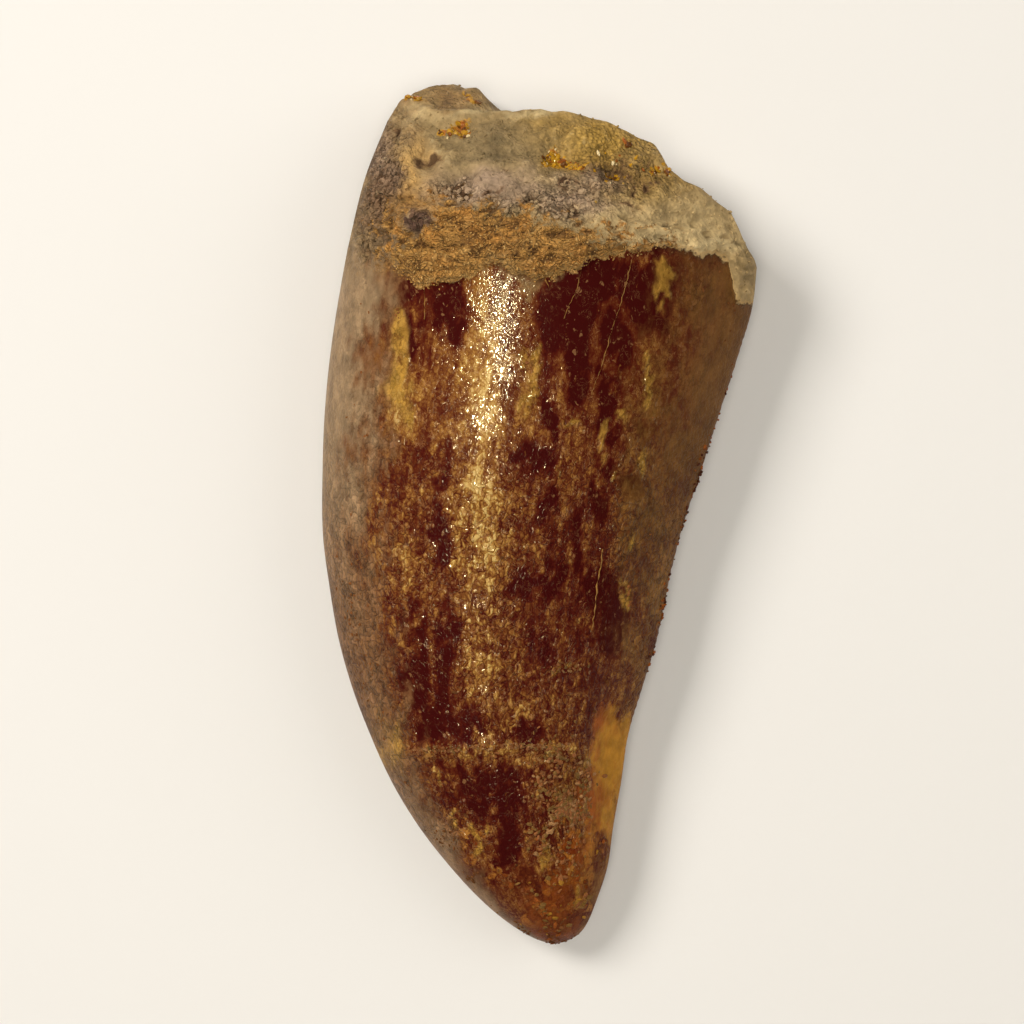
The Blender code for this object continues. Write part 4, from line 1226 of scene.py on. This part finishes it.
def scatter(name, seed):
    s = grainSets[name]
    pick = np.random.RandomState(seed)
    chance = likely[name] * raised * (1 if "onEdge" in s else offEdge)
    count = s["count"]
    where = pick.choice(len(points), count, p=chance / chance.sum())
    out = normals[where].astype(float)
    side = np.cross(out, pick.normal(size=(count, 3)))
    side /= np.linalg.norm(side, axis=1, keepdims=True)
    other = np.cross(out, side)
    size = s["size"][0] + (s["size"][1] - s["size"][0]) * pick.random_sample(count) ** 2
    centre = points[where] + side * pick.uniform(-0.2, 0.2, (count, 1)) + out * (0.2 * size)[:, None]
    centre += other * pick.uniform(-0.2, 0.2, (count, 1))
    ball = grainCorners[None] * pick.uniform(0.72, 1.15, (count, 12, 1))
    spread = size[:, None] * np.column_stack([pick.uniform(0.9, 1.6, count), pick.uniform(0.6, 1.0, count),
                                              np.full(count, s["flat"])])
    local = ball * spread[:, None]
    corners = centre[:, None] + local[..., :1] * side[:, None]
    corners += local[..., 1:2] * other[:, None] + local[..., 2:] * out[:, None]
    corners[..., 2] = np.maximum(corners[..., 2], 0.02)
    grainMesh = bpy.data.meshes.new(name)
    loops = (grainFaces[None] + 12 * np.arange(count)[:, None, None]).reshape(-1, 3)
    grainMesh.from_pydata((corners.reshape(-1, 3) * mm).tolist(), [], loops.tolist())
    if "under" in s:
        tints = s["under"][where]
    else:
        tints = np.array([toothColors[t] for t in s["tones"]])[pick.randint(len(s["tones"]), size=count)]
    tints = np.column_stack([tints * pick.uniform(*s["bright"], (count, 1)), np.ones(count)])
    store(grainMesh, "grainTint", "FLOAT_COLOR", "color", np.repeat(tints, 12, axis=0))
    # each grain bakes into its own little square
    grid = math.ceil(count ** 0.5)
    square = np.column_stack([np.arange(count) % grid, np.arange(count) // grid])
    flatUV = (square[:, None] + 0.5 + 0.36 * grainCorners[None, :, :2]) / grid
    layer = grainMesh.uv_layers.new(name="OFBake")
    layer.data.foreach_set("uv", flatUV.reshape(-1, 2)[loops.ravel()].ravel().astype(np.float32))
    grainMesh.materials.append(grainStuff(name, s["gloss"], s.get("shine", 0.12)))
    grains = bpy.data.objects.new(name, grainMesh)
    scene.collection.objects.link(grains)
    placeOnTooth(grains)


for seed, name in enumerate(grainSets):
    scatter(name, seeds["grains"] + seed)
print("grains scattered")

# pale mineral threads on the enamel: (x, height) along each, width (mm)
threads = {
    "lines": (
        (((3.4, 56.3), (2.8, 54.2), (1.9, 52.2)), 0.06), (((7.5, 57.3), (6.9, 54.6), (6.2, 52.5)), 0.06),
        (((6.2, 52.4), (5.2, 49.0), (4.1, 45.6)), 0.06), (((5.2, 33.6), (4.8, 30.5), (4.4, 27.1)), 0.13),
        (((-9.3, 55.3), (-9.3, 52.2)), 0.07), (((-3.4, 57.0), (-1.2, 57.0), (0.2, 56.0), (0.7, 54.6)), 0.1),
    ),
    "tints": ("goldFilm", "tipTan"), "gloss": 0.5, "shine": 0.15, "dust": (5.0, 3, 0.6), "bump": 0.04,
    "spacing": 0.12, "bends": ((0.14, 0.5), (0.2, 2.4)),
    # share of the half width, height over the enamel (mm)
    "section": ((-1, -0.04), (-0.45, 0.05), (0.45, 0.05), (1, -0.04)),
}
skin = BVHTree.FromObject(tooth, bpy.context.evaluated_depsgraph_get())


def onSkin(x, height):
    px, py = (x - shift[0]) * mm, (height - shift[1]) * mm
    hit = skin.ray_cast(Vector((px, py, 0.05)), Vector((0, 0, -1)))[0]
    return np.array(hit) / mm


threadPoints, threadFaces = [], []
for path, width in threads["lines"]:
    path = np.array(path)
    reach = np.concatenate([[0], np.cumsum(np.hypot(*np.diff(path, axis=0).T))])
    steps = max(int(reach[-1] / threads["spacing"]), 4)
    at = np.linspace(0, reach[-1], steps + 1)
    px, ph = np.interp(at, reach, path[:, 0]), np.interp(at, reach, path[:, 1])
    px = px + sum(bend * grained(px, ph, cell, seed)
                  for (bend, cell), seed in zip(threads["bends"], seeds["threads"]))
    run = np.gradient(np.column_stack([px, ph]), axis=0)
    run /= np.linalg.norm(run, axis=1, keepdims=True)
    thick = width * (0.55 + 0.5 * np.sin(np.pi * np.linspace(0.08, 0.92, steps + 1)))
    thick *= np.clip(0.75 + 2.2 * grained(px, ph, 0.5, seeds["threads"][2]), 0.12, 1.2)
    for i in range(steps + 1):
        for across, rise in threads["section"]:
            side = thick[i] * across * 0.6
            threadPoints.append(onSkin(px[i] - run[i, 1] * side, ph[i] + run[i, 0] * side) + (0, 0, rise))
        if i:
            k = len(threadPoints) - 4
            threadFaces += [(k + j - 4, k + j, k + j + 1, k + j - 3) for j in range(3)]
threadMesh = bpy.data.meshes.new("mineralThreads")
threadMesh.from_pydata((np.array(threadPoints) * mm).tolist(), [], threadFaces)
if sum(p.normal.z for p in threadMesh.polygons) < 0:
    threadMesh.flip_normals()
threadMesh.shade_smooth()
b = NodeBench("paleMineral")
dust = b.clouds(b.inMillimetres(), *threads["dust"])
threadTone = b.mix(b.window(dust, 0.35, 0.65), *(toothColors[name] for name in threads["tints"]))
dustRise = b.times(dust, threads["bump"])
threadMesh.materials.append(b.finishSurface(threadTone, threads["gloss"], dustRise, threads["shine"]))
threadPiece = bpy.data.objects.new("mineralThreads", threadMesh)
scene.collection.objects.link(threadPiece)
placeOnTooth(threadPiece)
print("mineral threads laid")

# floor, light, camera
studio = {
    "floor": (0.8, 0.785, 0.76), "floorCloud": (30, 0.985), "floorSize": 3, "floorRoughness": 0.85,
    "worldStrength": 0.13, "worldColor": (1.0, 0.95, 0.87), "middle": (-0.00225, 0.00025, 0.009),
}
lamps = {
    # offset from the studio's middle (m), size (m), watts, colour, and whether it lights or only mirrors
    "strip": ((-0.036, -0.04, 0.42), (0.012, 0.05), 2.1, (1.0, 0.86, 0.48), "mirror"),
    "tail": ((0.0, -0.16, 0.4), (0.04, 0.16), 0.27, (1.0, 0.84, 0.55), "mirror"),
    "fill": ((-0.34, 0.22, 0.4), (0.22, 0.22), 2.6, (1.0, 0.96, 0.9), "light"),
    "topFill": ((-0.02, -0.05, 0.45), (0.12, 0.2), 0.75, (1.0, 0.95, 0.87), "light"),
    "backFill": ((0.4, 0.15, 0.4), (0.5, 0.5), 1.0, (1.0, 0.97, 0.93), "light"),
}
bpy.ops.mesh.primitive_plane_add(size=studio["floorSize"], location=(0, 0, -0.00002))
floor = bpy.context.object
floor.name = "paleFloor"
floorBench = NodeBench("paleFloorPaint")
floorPlace = floorBench.node("ShaderNodeTexCoord").outputs["Object"]
cloudScale, cloudTone = studio["floorCloud"]
floorTone = floorBench.mix(floorBench.clouds(floorPlace, cloudScale), studio["floor"],
                           tuple(cloudTone * c for c in studio["floor"]))
floor.data.materials.append(floorBench.finishSurface(floorTone, studio["floorRoughness"]))

world = bpy.data.worlds.new("softStudio")
world.use_nodes = True
background = world.node_tree.nodes["Background"]
background.inputs[0].default_value = (*studio["worldColor"], 1)
background.inputs[1].default_value = studio["worldStrength"]
world.cycles_visibility.glossy = False
scene.world = world

for name, (offset, size, watts, color, use) in lamps.items():
    light = bpy.data.lights.new(name + "Light", "AREA")
    light.shape, light.size, light.size_y = "RECTANGLE", *size
    light.energy, light.color = watts, color
    lamp = bpy.data.objects.new(name + "Light", light)
    lamp.location = Vector(studio["middle"]) + Vector(offset)
    lamp.rotation_euler = (-Vector(offset)).to_track_quat("-Z", "Y").to_euler()
    lamp.visible_glossy = use == "mirror"
    lamp.visible_diffuse = use == "light"
    scene.collection.objects.link(lamp)

lens = {"focal": 100.0, "sensor": 36, "frameWidth": 0.08533, "planeHeight": 0.0075}
camera = bpy.data.objects.new("toothCamera", bpy.data.cameras.new("toothCamera"))
camera.data.lens, camera.data.sensor_width = lens["focal"], lens["sensor"]
distance = lens["frameWidth"] * lens["focal"] / lens["sensor"]
camera.location = (*studio["middle"][:2], lens["planeHeight"] + distance)
camera.data.clip_start = 0.01
scene.collection.objects.link(camera)
scene.camera = camera
scene.view_settings.view_transform = "Standard"
print("light and camera placed")
